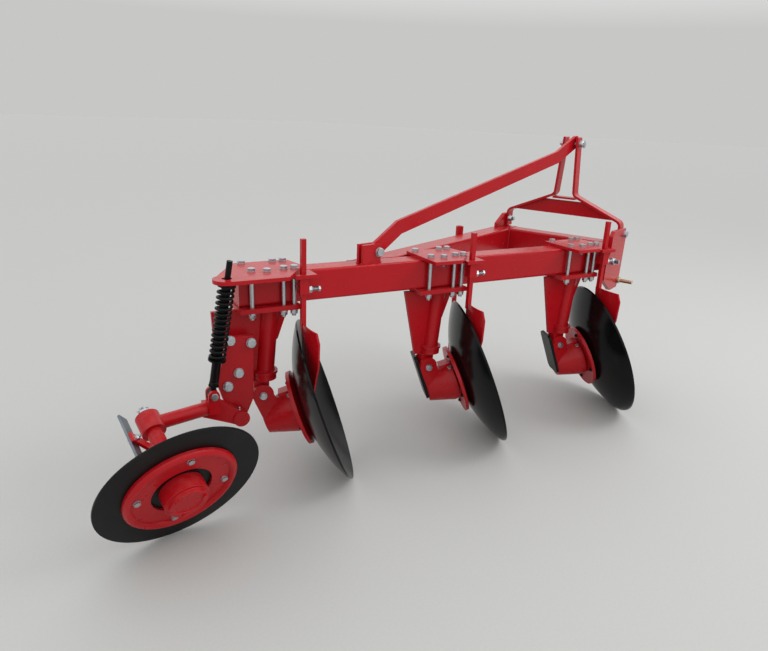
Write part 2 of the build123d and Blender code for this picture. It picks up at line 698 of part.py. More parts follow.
    # Hub flange with its shaft.
    with BuildPart(moved(disc_axis, 0, 0, FLANGE_BACK)) as hub_flange:
        with BuildSketch(Plane(origin=disc_axis.origin, x_dir=disc_axis.x_dir, z_dir=-disc_axis.y_dir)):
            with BuildLine():
                Polyline(
                    (DISC_FLAT_R, -DISC_DEPTH - DISC_T),
                    (0, -DISC_DEPTH - DISC_T),
                    (0, FLANGE_BACK),
                    (FLANGE_SEAT_R, FLANGE_BACK),
                    (FLANGE_R, FLANGE_RIM_Z - DISC_DEPTH - DISC_T - FIT_PLAY - FLANGE_RIM_T),
                    (FLANGE_R, FLANGE_RIM_Z - DISC_DEPTH - DISC_T - FIT_PLAY),
                )
                ThreePointArc(
                    (FLANGE_R, FLANGE_RIM_Z - DISC_DEPTH - DISC_T - FIT_PLAY),
                    (FLANGE_MID_R, FLANGE_MID_Z - DISC_DEPTH - DISC_T - FIT_PLAY),
                    (DISC_FLAT_R, -DISC_DEPTH - DISC_T - FIT_PLAY),
                )
                Line((DISC_FLAT_R, -DISC_DEPTH - DISC_T - FIT_PLAY), (DISC_FLAT_R, -DISC_DEPTH - DISC_T))
            make_face()
        revolve(axis=Axis(disc_axis.origin, disc_axis.z_dir))
        Cylinder(SHAFT_R, SHAFT_L, align=HIGH_END)
    save(hub_flange, f"hub_flange_{name}")
    # Hub carrier: tapered bearing housing and two cheeks on either side of the tongue.
    with BuildPart() as hub_carrier:
        with BuildSketch(half_section):
            with BuildLine():
                Polyline(
                    (0, HOUSING_END),
                    (HOUSING_BACK_R, HOUSING_END),
                    (HOUSING_R, HUB_SEAT - HOUSING_LIP),
                    (HOUSING_R, HUB_SEAT),
                    (0, HUB_SEAT),
                    close=True,
                )
            make_face()
        revolve(axis=Axis(disc_axis.origin, disc_axis.z_dir))
        with BuildSketch(moved(disc_axis, 0, 0, HUB_SEAT)):
            Rectangle(HOUSING_LUG_W, HOUSING_LUG_TOP, align=(Align.CENTER, Align.MIN))
        extrude(amount=-HOUSING_LUG_L)
        for cheek_y in (-CHEEK_GAP / 2, CHEEK_GAP / 2 + CHEEK_T):
            with BuildSketch(upright(body, TONGUE_X, cheek_y, TONGUE_Z)):
                Circle(CHEEK_R)
                with BuildLine():
                    Polyline((-CHEEK_R, 0), (CHEEK_R, 0), *CHEEK_FOOT, close=True)
                make_face()
            extrude(amount=CHEEK_T)
        with BuildSketch(upright(body, TONGUE_X, CHEEK_GAP / 2 + CHEEK_T, TONGUE_Z)):
            Circle(CHEEK_BOLT_R)
        extrude(amount=CHEEK_GAP + 2 * CHEEK_T, mode=Mode.SUBTRACT)
        with BuildSketch(moved(disc_axis, 0, 0, HOUSING_END)):
            Rectangle(LONG, LONG)
        extrude(amount=-LONG, mode=Mode.SUBTRACT)
        with BuildSketch(moved(body, TUBE_X, 0, NECK_Z)):
            Circle(NECK_R)
        extrude(amount=-FIT_PLAY, mode=Mode.SUBTRACT)
        with BuildSketch(moved(disc_axis, 0, 0, FLANGE_BACK - SHAFT_L)):
            Circle(SHAFT_R + RUN_GAP)
        extrude(amount=SHAFT_L, mode=Mode.SUBTRACT)
    save(hub_carrier, f"hub_carrier_{name}")
    # Pivot bolt of the carrier.
    with BuildPart(upright(body, TONGUE_X, CHEEK_GAP / 2 + CHEEK_T, TONGUE_Z)) as carrier_bolt:
        Cylinder(CHEEK_BOLT_R, CHEEK_GAP + 2 * CHEEK_T, align=LOW_END)
    save(carrier_bolt, f"carrier_bolt_{name}")
    # Black back plate of the carrier.
    if name != "rear":
        with BuildPart() as back_plate:
            with BuildSketch(moved(disc_axis, BACK_PLATE_X, BACK_PLATE_LOW, HOUSING_END - BACK_PLATE_T)):
                RectangleRounded(
                    BACK_PLATE_W,
                    BACK_PLATE_TOP - BACK_PLATE_LOW,
                    BACK_PLATE_CORNER,
                    align=(Align.CENTER, Align.MIN),
                )
            extrude(amount=BACK_PLATE_T)
        save(back_plate, f"back_plate_{name}")
    # Scraper holder under the clamp plate, with a sleeve for the rod.
    with BuildPart() as scraper_holder:
        with BuildSketch(moved(body, 0, 0, HALF_H - HOLDER_T)):
            with Locations((HOLDER_X, -HALF_W)):
                Rectangle(HOLDER_L, HOLDER_W, align=(Align.MIN, Align.MAX))
            with Locations((STUD_X[2], -STUD_Y)):
                Circle(STUD_R + STUD_PLAY, mode=Mode.SUBTRACT)
            with Locations((ROD_X, ROD_Y)):
                Rectangle(ROD_W + 2 * FIT_PLAY, ROD_W + 2 * FIT_PLAY, mode=Mode.SUBTRACT)
        extrude(amount=HOLDER_T)
        with BuildSketch(moved(body, ROD_X, ROD_Y, HOLDER_LOW)):
            Rectangle(HOLDER_SLEEVE, HOLDER_SLEEVE)
            Rectangle(ROD_W + 2 * FIT_PLAY, ROD_W + 2 * FIT_PLAY, mode=Mode.SUBTRACT)
        extrude(amount=HALF_H - HOLDER_T - HOLDER_LOW)
    save(scraper_holder, f"scraper_holder_{name}")
    # Scraper: square rod and a curved blade in front of the dish.
    lean = radians(BLADE_LEAN)
    rod_line = body.from_local_coords((ROD_X, ROD_Y, 0))
    blade_frame = swung(disc_axis, rod_line, blade_turn)
    blade_plane = Plane(
        origin=blade_frame.from_local_coords((0, BLADE_TOP, BLADE_OUT)),
        x_dir=blade_frame.x_dir,
        z_dir=-blade_frame.y_dir * cos(lean) - blade_frame.z_dir * sin(lean),
    )
    with BuildPart() as scraper:
        with BuildSketch(blade_plane):
            with BuildLine():
                blade_line = ThreePointArc(*BLADE_CURVE)
                offset(blade_line, amount=BLADE_T / 2, side=Side.BOTH)
            make_face()
        extrude(amount=DISC_R)
        with BuildSketch(moved(blade_frame, 0, 0, -DISC_R / 2)):
            with BuildLine():
                Polyline(*BLADE_OUTLINE, close=True)
            make_face()
        extrude(amount=DISC_R, mode=Mode.INTERSECT)
        with BuildSketch(moved(body, ROD_X, ROD_Y, ROD_LOW)):
            Rectangle(ROD_W, ROD_W)
        extrude(amount=rod_top - ROD_LOW)
    save(scraper, f"scraper_{name}")

# Furrow wheel.
wheel_drop = WHEEL_R * cos(radians(WHEEL_EL)) - RIM_T * sin(radians(WHEEL_EL))
WHEEL = aimed(SQUARE, (WHEEL_X, WHEEL_Y, wheel_drop - BEAM_Z), WHEEL_AZ, WHEEL_EL)
with BuildPart(WHEEL) as wheel_rim:
    Cylinder(WHEEL_R, RIM_T, align=LOW_END)
    Cylinder(HUB_R, RIM_T, align=LOW_END, mode=Mode.SUBTRACT)
save(wheel_rim, "wheel_rim")
with BuildPart() as wheel_ring:
    with BuildSketch(Plane(origin=WHEEL.origin, x_dir=WHEEL.x_dir, z_dir=-WHEEL.y_dir)):
        ring_face = RIM_T + RING_T
        with BuildLine():
            Polyline(
                (RING_IN, RIM_T),
                (RING_R, RIM_T),
                (RING_R, ring_face),
                (RING_LIP[1], ring_face + RING_LIP_H - RING_LIP_R),
                (RING_LIP[1] - RING_LIP_R, ring_face + RING_LIP_H),
                (RING_LIP[0] + RING_LIP_R, ring_face + RING_LIP_H),
                (RING_LIP[0], ring_face + RING_LIP_H - RING_LIP_R),
                (RING_LIP[0], ring_face),
                (RING_IN, ring_face),
                close=True,
            )
        make_face()
    revolve(axis=Axis(WHEEL.origin, WHEEL.z_dir))
save(wheel_ring, "wheel_ring")
with BuildPart(moved(WHEEL, 0, 0, HUB_BACK)) as wheel_hub:
    Cylinder(HUB_R, HUB_FRONT - HUB_BACK - HUB_CAP_STEP, align=LOW_END)
    Cylinder(HUB_CAP_R, HUB_FRONT - HUB_BACK, align=LOW_END)
    with Locations((0, 0, HUB_FRONT - HUB_BACK)):
        Cylinder(HUB_DISH_R, HUB_DISH, align=HIGH_END, mode=Mode.SUBTRACT)
    with Locations((0, 0, -HUB_BACK)):
        Cylinder(HUB_FLANGE_R, RING_T, align=HIGH_END)
    Cylinder(AXLE_R + RUN_GAP, HUB_FRONT - HUB_BACK - HUB_CAP, align=LOW_END, mode=Mode.SUBTRACT)
save(wheel_hub, "wheel_hub")
with BuildPart(moved(WHEEL, 0, 0, AXLE_END)) as wheel_axle:
    Cylinder(AXLE_R, HUB_FRONT - HUB_CAP - FIT_PLAY - AXLE_END, align=LOW_END)
    with Locations((0, 0, BOSS_NEAR - AXLE_END)):
        Cylinder(AXLE_R + AXLE_COLLAR, HUB_BACK - BODY_GAP - BOSS_NEAR, align=LOW_END)
save(wheel_axle, "wheel_axle")

# Bracket on the rear standard: a bolted plate in front of the tube, set off by a block.
BRACKET_IN = TUBE_R + BRACKET_OFF
BRACKET_OUT = BRACKET_IN + BRACKET_T
with BuildPart() as wheel_bracket:
    with BuildSketch(upright(BEAM, 0, -BRACKET_IN, 0)):
        with BuildLine():
            Polyline(*BRACKET_OUTLINE, close=True)
        make_face()
        with Locations((PIVOT_X, PIVOT_Z)):
            Circle(PIVOT_R)
            Circle(PIVOT_BOLT_R, mode=Mode.SUBTRACT)
    extrude(amount=BRACKET_T)
    with BuildSketch(upright(BEAM, 0, -WEB_T / 2, 0)):
        with BuildLine():
            Polyline(*BLOCK_OUTLINE, close=True)
        make_face()
    extrude(amount=BRACKET_IN - WEB_T / 2)
save(wheel_bracket, "wheel_bracket")

# Arm of the furrow wheel: pivot barrel, link, round bar, axle boss and lugs for the spring rod.
ARM_IN = BRACKET_OUT + FIT_PLAY
EYE_NEAR = -SPRING_LOW[1] + EYE_T / 2
LUG_GAP = 2.0
LUG_FAR_Y = SPRING_LOW[1] + EYE_T / 2 + LUG_GAP + LUG_T
LUG_NEAR_Y = SPRING_LOW[1] - EYE_T / 2 - LUG_GAP
boss_mid = WHEEL.from_local_coords((0, 0, (BOSS_NEAR + BOSS_FAR) / 2))
elbow = BEAM.from_local_coords(ELBOW)
reach = boss_mid - elbow
with BuildPart() as wheel_arm:
    with BuildSketch(upright(BEAM, PIVOT_X, -ARM_IN, PIVOT_Z)):
        Circle(PIVOT_R)
    extrude(amount=BARREL_L)
    with BuildSketch(upright(BEAM, 0, -ARM_IN - LUG_GAP, 0)):
        with BuildLine():
            Polyline((PIVOT_X, PIVOT_Z + PIVOT_R), *LINK_OUTLINE, (PIVOT_X, PIVOT_Z - PIVOT_R), close=True)
        make_face()
    extrude(amount=LINK_T)
    with BuildSketch(upright(BEAM, SPRING_LOW[0], LUG_FAR_Y, SPRING_LOW[2] - LUG_R)):
        Rectangle(2 * LUG_R, LUG_BASE, align=(Align.CENTER, Align.MAX))
    extrude(amount=LUG_FAR_Y - LUG_NEAR_Y + LUG_T)
    with BuildSketch(Plane(origin=elbow, z_dir=reach)):
        Circle(ARM_ROUND_R)
    extrude(amount=reach.length)
    with BuildSketch(moved(WHEEL, 0, 0, BOSS_FAR)):
        Circle(BOSS_R)
    extrude(amount=BOSS_NEAR - BOSS_FAR)
    for lug_y in (LUG_FAR_Y, LUG_NEAR_Y):
        with BuildSketch(upright(BEAM, SPRING_LOW[0], lug_y, SPRING_LOW[2])):
            Circle(LUG_R)
            Rectangle(2 * LUG_R, LUG_R + LUG_GAP, align=(Align.CENTER, Align.MAX))
        extrude(amount=LUG_T)
    with BuildSketch(upright(BEAM, SPRING_LOW[0], LUG_FAR_Y, SPRING_LOW[2])):
        Circle(CLEVIS_R)
    extrude(amount=LUG_FAR_Y - LUG_NEAR_Y + LUG_T, mode=Mode.SUBTRACT)
    with BuildSketch(moved(WHEEL, 0, 0, AXLE_END)):
        Circle(AXLE_R)
    extrude(amount=HUB_BACK - AXLE_END, mode=Mode.SUBTRACT)
    with BuildSketch(upright(BEAM, PIVOT_X, -ARM_IN, PIVOT_Z)):
        Circle(PIVOT_BOLT_R)
    extrude(amount=BARREL_L, mode=Mode.SUBTRACT)
save(wheel_arm, "wheel_arm")
with BuildPart(upright(BEAM, PIVOT_X, -BRACKET_IN, PIVOT_Z)) as pivot_bolt:
    Cylinder(PIVOT_BOLT_R, ARM_IN + BARREL_L - BRACKET_IN, align=LOW_END)
save(pivot_bolt, "pivot_bolt")
with BuildPart(upright(BEAM, SPRING_LOW[0], LUG_FAR_Y, SPRING_LOW[2])) as clevis_pin:
    Cylinder(CLEVIS_R, LUG_FAR_Y - LUG_NEAR_Y + LUG_T, align=LOW_END)
save(clevis_pin, "clevis_pin")

# Spring rod with its eye, sleeve, seats and coil.
rod_foot = BEAM.from_local_coords(SPRING_LOW)
rod_head = BEAM.from_local_coords((SPRING_TOP[0], SPRING_TOP[1], HALF_H))
rod_run = rod_head - rod_foot
SPRING = Plane(origin=rod_foot, x_dir=BEAM.y_dir, z_dir=rod_run)
COIL_TOP = rod_run.length - SEAT_T - SEAT_DROP - COIL_WIRE
with BuildPart() as spring_rod:
    with BuildSketch(SPRING):
        Circle(SPRING_ROD_R)
    extrude(amount=rod_run.length + SPRING_ROD_OVER)
    with BuildSketch(moved(SPRING, 0, 0, SLEEVE_FOOT)):
        Circle(SPRING_SLEEVE_R)
    extrude(amount=COIL_TOP + COIL_WIRE - SLEEVE_FOOT)
    for seat_z in (COIL_LOW - COIL_WIRE - SEAT_T, COIL_TOP + COIL_WIRE):
        with BuildSketch(moved(SPRING, 0, 0, seat_z)):
            Circle(SEAT_R)
        extrude(amount=SEAT_T)
    with BuildSketch(upright(BEAM, SPRING_LOW[0], SPRING_LOW[1] + EYE_T / 2, SPRING_LOW[2])):
        Circle(EYE_R)
    extrude(amount=EYE_T)
    with BuildSketch(upright(BEAM, SPRING_LOW[0], SPRING_LOW[1] + EYE_T, SPRING_LOW[2])):
        Circle(CLEVIS_R)
    extrude(amount=2 * EYE_T, mode=Mode.SUBTRACT)
save(spring_rod, "spring_rod")
coil_base = SPRING.from_local_coords((0, 0, COIL_LOW))
with BuildPart() as spring_coil:
    with BuildLine():
        coil_path = Helix(
            pitch=(COIL_TOP - COIL_LOW) / COIL_TURNS,
            height=COIL_TOP - COIL_LOW,
            radius=COIL_R,
            center=coil_base,
            direction=SPRING.z_dir,
        )
    with BuildSketch(Plane(origin=coil_path @ 0, z_dir=coil_path % 0)):
        Circle(COIL_WIRE)
    sweep(path=coil_path, is_frenet=True)
save(spring_coil, "spring_coil")

# Scraper of the furrow wheel: a strip along the axle, bolted to a lug clamped on the axle.
SCRAPE = Plane(
    origin=WHEEL.origin,
    x_dir=WHEEL.x_dir * cos(radians(SCRAPE_TURN)) + WHEEL.y_dir * sin(radians(SCRAPE_TURN)),
    z_dir=WHEEL.z_dir,
)
with BuildPart(moved(SCRAPE, 0, 0, SCRAPE_LUG_Z)) as scraper_lug:
    Cylinder(SCRAPE_RING_R, SCRAPE_LUG_W, align=LOW_END)
    Box(SCRAPE_R[1] - FIT_PLAY, SCRAPE_LUG_T, SCRAPE_LUG_W, align=(Align.MIN, Align.MAX, Align.MIN))
    Cylinder(AXLE_R + AXLE_COLLAR, SCRAPE_LUG_W, align=LOW_END, mode=Mode.SUBTRACT)
save(scraper_lug, "scraper_lug")
with BuildPart(moved(SCRAPE, SCRAPE_R[0], 0, SCRAPE_Z[0])) as wheel_scraper:
    Box(SCRAPE_R[1] - SCRAPE_R[0], SCRAPE_T, SCRAPE_Z[1] - SCRAPE_Z[0], align=(Align.MIN, Align.MIN, Align.MIN))
save(wheel_scraper, "wheel_scraper")
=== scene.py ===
from math import cos, radians, sin, sqrt, tau

import bmesh
import bpy
from bpy.props import FloatProperty, FloatVectorProperty, IntProperty, PointerProperty
from mathutils import Matrix, Vector


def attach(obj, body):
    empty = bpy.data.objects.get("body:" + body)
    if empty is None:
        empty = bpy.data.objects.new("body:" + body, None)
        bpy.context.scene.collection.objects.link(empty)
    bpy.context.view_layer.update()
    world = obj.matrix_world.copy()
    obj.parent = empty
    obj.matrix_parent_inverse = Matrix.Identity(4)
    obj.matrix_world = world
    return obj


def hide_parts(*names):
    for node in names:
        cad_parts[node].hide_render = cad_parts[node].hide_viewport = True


bl_info = {
    "name": "Mounted disc plough",
    "version": (1, 0, 0),
    "blender": (4, 5, 0),
    "location": "View3D > Sidebar > Plough",
    "description": "Enamel, fasteners, welds, dished discs and a studio for a mounted disc plough",
    "category": "Object",
}

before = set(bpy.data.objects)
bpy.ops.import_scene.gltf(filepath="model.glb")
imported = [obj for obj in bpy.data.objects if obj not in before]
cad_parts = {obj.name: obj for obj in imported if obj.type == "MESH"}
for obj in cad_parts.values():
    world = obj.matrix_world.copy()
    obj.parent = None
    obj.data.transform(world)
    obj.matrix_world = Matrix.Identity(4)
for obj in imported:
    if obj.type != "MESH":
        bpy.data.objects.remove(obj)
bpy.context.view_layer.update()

FRAME_BODY = "plough_frame"
WHEEL_BODY = "furrow_wheel"
STAND_BODY = "stand_leg"
MM = 0.001

# Places, as in the part's source. X is forward, Y is left, Z is up.
BEAM_YAW = -24.9
BEAM_Z = 0.330 * cos(radians(20)) + 0.461
HALF_W = 0.048
HALF_H = 0.060
FRONT_X = 1.115
SIDE_RIGHT_Y = 0.060
SIDE_LEFT_Y = SIDE_RIGHT_Y + 2 * HALF_W
HITCH_Y = -0.1875
RIGHT_OUT_Y = HITCH_Y - 0.3415 + 0.013
LEFT_OUT_Y = HITCH_Y + 0.3415 - 0.013
HITCH_PLATE_T = 0.020
# Places of bolts in the hitch plates, along X and Z.
FOOT_BOLT = (1.106, 0.100)
BRACE_BOLT = (0.958, -0.013)
BAR_X = 1.118
BAR_OUT = 0.0412
GUSSET_Z = (0.157, 0.228)
GUSSET_HALF_T = 0.005
BEAM_BEAD = 0.0055
BAR_T = 0.012
MAST_BEND_Z = 0.258
MAST_BEND_HALF = 0.050
ARM_RUN = 0.2525
ARM_RISE = 0.108
TOP_PIN_Z = 0.510
SPACER_LOW_Z = 0.237
SPACER_W = 0.052
SPACER_L = 0.118
SPACER_T = 0.010
CLAMP_T = 0.014
PLATE_T = 0.018
STUD_X = (0.057, 0.175, 0.215)
STUD_Y = 0.062
SPRING_WASHER_R = 0.0135
SPRING_WASHER_T = 0.004
SHORT_BOLT = (0.107, -0.082)
TUBE_X = 0.118
TUBE_TOP_X = 0.142
TUBE_R = 0.035
COLLAR_TOP = -0.328
TONGUE_X = 0.099
TONGUE_Z = -0.421
CHEEK_OUT = 0.036
ROD_X = 0.236
ROD_Y = -0.098
DISC_AT = (0.345, -0.068, -0.461)
DISC_AZ = -45.3
DISC_EL = 20.0
DISC_R = 0.330
DISC_T = 0.006
DISC_SPHERE_R = 0.610
DISC_FLAT_R = 0.112
FLANGE_T = 0.018
FLANGE_BOLT_R = 0.128
WHEEL_X = -1.078
WHEEL_Y = 0.105
WHEEL_AZ = -104.4
WHEEL_EL = -25.2
WHEEL_R = 0.268
RIM_T = 0.008
RING_T = 0.010
HUB_FRONT = 0.075
BOSS_FAR = -0.298
BOSS_NEAR = -0.226
AXLE_R = 0.025
AXLE_FAR = -0.332
AXLE_NEAR = 0.0547
AXLE_COLLAR_T = 0.002
AXLE_COLLAR_NEAR = -0.067
AXLE_WASHER_R = 0.021
AXLE_WASHER_T = 0.006
RING_BOLT_R = 0.143
CAP_BOLT_R = 0.053
PIVOT = (-0.745, -0.469)
BRACKET_OUT = 0.0583
SCRAPE_TURN = 128.3
SPRING_LOW = (-0.846, -0.092, -0.353)
SPRING_TOP = (-0.790, -0.132)
STAY_STATION = -0.150
STAY_HEAD = (1.112, -0.1985)
STAY_BOLT = (-0.016, 0.102)
STAY_OUT = 0.020
STAND_X = 0.694
SLEEVE_R = 0.019

# Name of a plough body, its station along the main beam in metres.
BODIES = (("front", 0.757), ("middle", 0.0), ("rear", -0.742))

# Fastener sizes in mm: thread, across flats, head height, nut height, washer radius.
FASTENERS = {
    "m8": (8, 13, 5.3, 6.5, 8.0),
    "m10": (10, 17, 6.4, 8.0, 10.0),
    "m12": (12, 19, 7.5, 10.0, 12.0),
    "m16": (16, 24, 10.0, 13.0, 15.0),
    "m20": (20, 30, 12.5, 16.0, 18.5),
    "m24": (24, 36, 15.0, 19.0, 22.0),
}


def axes(origin, x_dir, z_dir):
    """A placing matrix from an origin, its x direction and its z direction."""
    z = Vector(z_dir).normalized()
    y = z.cross(Vector(x_dir)).normalized()
    made = Matrix((y.cross(z), y, z)).transposed().to_4x4()
    made.translation = origin
    return made


def at(place, x=0.0, y=0.0, z=0.0):
    """The same axes with the origin moved along them."""
    return place @ Matrix.Translation((x, y, z))


def aimed(place, spot, azimuth, elevation):
    """Axes at a spot of the place, with z along a compass direction and a slope."""
    flat = cos(radians(elevation))
    z_dir = (flat * cos(radians(azimuth)), flat * sin(radians(azimuth)), sin(radians(elevation)))
    return axes(place @ Vector(spot), (-sin(radians(azimuth)), cos(radians(azimuth)), 0), z_dir)


def facing(place, spot, way):
    """Axes at a spot of the place, with z along one of the place's own directions."""
    turn = place.to_3x3()
    z_dir = turn @ Vector(way)
    x_dir = turn @ Vector((0, 0, 1) if abs(way[2]) < 0.5 else (1, 0, 0))
    return axes(place @ Vector(spot), x_dir, z_dir)


SQUARE = Matrix.Translation((0.0612, 0.1816, BEAM_Z))
BEAM = SQUARE @ Matrix.Rotation(radians(BEAM_YAW), 4, "Z")
WHEEL_DROP = WHEEL_R * cos(radians(WHEEL_EL)) - RIM_T * sin(radians(WHEEL_EL))
WHEEL = aimed(SQUARE, (WHEEL_X, WHEEL_Y, WHEEL_DROP - BEAM_Z), WHEEL_AZ, WHEEL_EL)
RIGHT = (0, -1, 0)
LEFT = (0, 1, 0)
AHEAD = (1, 0, 0)
UP = (0, 0, 1)
DOWN = (0, 0, -1)


def sphere_rise(radius):
    """Height of the dish's sphere over its own centre at a radius."""
    return sqrt(DISC_SPHERE_R**2 - radius**2)


DISC_DEPTH = sphere_rise(DISC_FLAT_R) - sphere_rise(DISC_R)
FLANGE_BACK = -DISC_DEPTH - DISC_T - FLANGE_T
HUB_SEAT = FLANGE_BACK - 0.005
HOUSING_R = 0.088


def arm_half(z):
    """Half the width between the lower faces of the mast's arms at a height."""
    run, rise = ARM_RUN, ARM_RISE
    drop = BAR_T / 2 * sqrt(run**2 + rise**2) / run
    return MAST_BEND_HALF + run * (MAST_BEND_Z - drop - z) / rise


def linear(code):
    """Linear colour of an sRGB hex code."""
    parts = [int(code[i : i + 2], 16) / 255 for i in (1, 3, 5)]
    return tuple(c / 12.92 if c <= 0.04045 else ((c + 0.055) / 1.055) ** 2.4 for c in parts)


def size_prop(label, text, value_mm):
    """A length that a user may change, shown in the scene's units."""
    return FloatProperty(
        name=label,
        description=text,
        default=value_mm * MM,
        min=0.0,
        subtype="DISTANCE",
        unit="LENGTH",
    )


def colour_prop(label, text, code):
    """A colour that a user may change."""
    return FloatVectorProperty(
        name=label,
        description=text,
        default=linear(code),
        min=0.0,
        max=1.0,
        subtype="COLOR",
        size=3,
    )


class PloughSizes(bpy.types.PropertyGroup):
    """Small sizes that the looks add to the frame."""

    plate_edge: size_prop("Plate edge", "Rounding of flame-cut plate edges under the enamel", 1.4)
    cast_edge: size_prop("Cast edge", "Rounding of the edges of castings", 2.6)
    pin_edge: size_prop("Pin edge", "Chamfer on the ends of pins and rods", 1.0)
    bead: size_prop("Weld bead", "Half the width of a weld bead", 4.0)
    ripple: size_prop("Weld ripple", "Distance between the ripples of a weld", 5.0)
    sides: IntProperty(
        name="Round sides",
        description="Sides of the turned pieces",
        default=128,
        min=24,
        max=256,
    )


class PloughColours(bpy.types.PropertyGroup):
    """Colours of the finishes."""

    red: colour_prop("Red enamel", "Colour of the enamel on frame and castings", "#B3111B")
    black: colour_prop("Black enamel", "Colour of the discs, wheel rim and spring", "#0B0C0D")
    zinc: colour_prop("Zinc", "Colour of bright zinc plate", "#C9CCCE")
    yellow_zinc: colour_prop("Yellow zinc", "Colour of passivated zinc plate", "#DDD4BE")
    steel: colour_prop("Bare steel", "Colour of uncoated steel", "#7B8187")
    floor: colour_prop("Floor", "Colour of the studio floor", "#BEBDBA")


# Materials.


def node(tree, kind, inputs=None, **settings):
    """Adds a node with its settings, and sets or links its inputs by name or number."""
    made = tree.nodes.new(kind)
    for key, value in settings.items():
        setattr(made, key, value)
    for key, value in (inputs or {}).items():
        if isinstance(value, bpy.types.NodeSocket):
            tree.links.new(value, made.inputs[key])
        else:
            made.inputs[key].default_value = value
    return made


def per_mm(size):
    """Texture scale that makes a feature about this many millimetres across."""
    return 1000.0 / size


def rgba(colour):
    """Four values of a colour that has three."""
    return (*colour, 1.0)


def darker(colour, share):
    """The colour with a share of its light left."""
    return tuple(c * share for c in colour)


def blended(tree, share, first, second):
    """Colour socket that goes from the first colour to the second."""
    mix = node(tree, "ShaderNodeMix", {0: share, 6: first, 7: second}, data_type="RGBA")
    return mix.outputs[2]


def spread(tree, value, low, high, to_low, to_high):
    """Value socket mapped from one range to another and held there."""
    ranged = node(
        tree,
        "ShaderNodeMapRange",
        {"Value": value, "From Min": low, "From Max": high, "To Min": to_low, "To Max": to_high},
    )
    return ranged.outputs["Result"]


def noise(tree, coords, size_mm, detail=3.0, roughness=0.5):
    """Value socket of noise with features of a size in millimetres."""
    made = node(
        tree,
        "ShaderNodeTexNoise",
        {"Vector": coords, "Scale": per_mm(size_mm), "Detail": detail, "Roughness": roughness},
    )
    return made.outputs["Fac"]


def blank(name, **fixed):
    """A new material with its shader, object coordinates and the sockets that stay constant."""
    made = bpy.data.materials.new(name)
    made.use_nodes = True
    tree = made.node_tree
    shader = tree.nodes["Principled BSDF"]
    for key, value in fixed.items():
        shader.inputs[key.replace("_", " ")].default_value = value
    coords = node(tree, "ShaderNodeTexCoord").outputs["Object"]
    return made, tree, shader, coords


def bump(tree, shader, layers):
    """Chains bump layers of (height socket, distance in mm, strength) onto the shader's normal."""
    normal = None
    for height, distance_mm, strength in layers:
        inputs = {"Height": height, "Distance": distance_mm * MM, "Strength": strength}
        if normal is not None:
            inputs["Normal"] = normal
        normal = node(tree, "ShaderNodeBump", inputs).outputs["Normal"]
    tree.links.new(normal, shader.inputs["Normal"])


def upward(tree, low, high):
    """Value socket that is 1 on faces that look up."""
    normal = node(tree, "ShaderNodeNewGeometry").outputs["Normal"]
    split = node(tree, "ShaderNodeSeparateXYZ", {"Vector": normal})
    return spread(tree, split.outputs["Z"], low, high, 0.0, 1.0)


def times(tree, first, second):
    """Value socket of a product."""
    return node(tree, "ShaderNodeMath", {0: first, 1: second}, operation="MULTIPLY").outputs[0]


def added(tree, value, factor, base):
    """Value socket of a base with a share of another value added."""
    made = node(tree, "ShaderNodeMath", {0: value, 1: factor, 2: base}, operation="MULTIPLY_ADD")
    return made.outputs[0]


def enamel(name, colour, peel_mm, peel_depth, sand_mm, sand_depth, rough):
    """Gloss enamel: wet-looking sprayed colour, with orange peel and what the metal under it shows."""
    made, tree, shader, coords = blank(name, Metallic=0.0, IOR=1.5, Specular_IOR_Level=0.24)
    drift = noise(tree, coords, 170.0, 2.0)
    tone = spread(tree, drift, 0.3, 0.7, 0.0, 1.0)
    body = blended(tree, tone, rgba(darker(colour, 0.90)), rgba(colour))
    # A thin film of road dust lies on faces that look up, in soft patches.
    patches = spread(tree, noise(tree, coords, 38.0, 5.0, 0.6), 0.45, 0.8, 0.0, 0.08)
    film = times(tree, patches, upward(tree, 0.35, 0.95))
    tree.links.new(blended(tree, film, body, rgba(linear("#C9B5A4"))), shader.inputs["Base Color"])
    worn = spread(tree, noise(tree, coords, 24.0, 4.0), 0.3, 0.75, rough, rough + 0.12)
    tree.links.new(worn, shader.inputs["Roughness"])
    peel = noise(tree, coords, peel_mm, 2.0)
    sand = noise(tree, coords, sand_mm, 4.0, 0.6)
    bump(tree, shader, ((sand, sand_depth, 0.32), (peel, peel_depth, 0.25)))
    return made


def black_enamel(name, colour, rough, ring_mm):
    """Black enamel on a turned or pressed piece: smooth, with faint rings, dust and handling marks."""
    made, tree, shader, coords = blank(name, Metallic=0.0, IOR=1.5, Specular_IOR_Level=0.16)
    ring = node(tree, "ShaderNodeAttribute", attribute_name="ring").outputs["Fac"]
    wobble = noise(tree, coords, 60.0, 2.0)
    shifted = added(tree, wobble, 0.006, ring)
    lines = node(
        tree,
        "ShaderNodeTexNoise",
        {"W": shifted, "Scale": per_mm(ring_mm), "Detail": 4.0},
        noise_dimensions="1D",
    )
    smudge = noise(tree, coords, 85.0, 5.0, 0.65)
    dust = spread(tree, smudge, 0.5, 0.8, 0.0, 0.03)
    tree.links.new(blended(tree, dust, rgba(colour), rgba(linear("#8C857B"))), shader.inputs["Base Color"])
    marks = added(tree, smudge, 0.5, lines.outputs["Fac"])
    tree.links.new(spread(tree, marks, 0.45, 1.05, rough, rough + 0.12), shader.inputs["Roughness"])
    peel = noise(tree, coords, 5.0, 2.0)
    bump(tree, shader, ((lines.outputs["Fac"], 0.03, 0.04), (peel, 0.04, 0.1)))
    return made


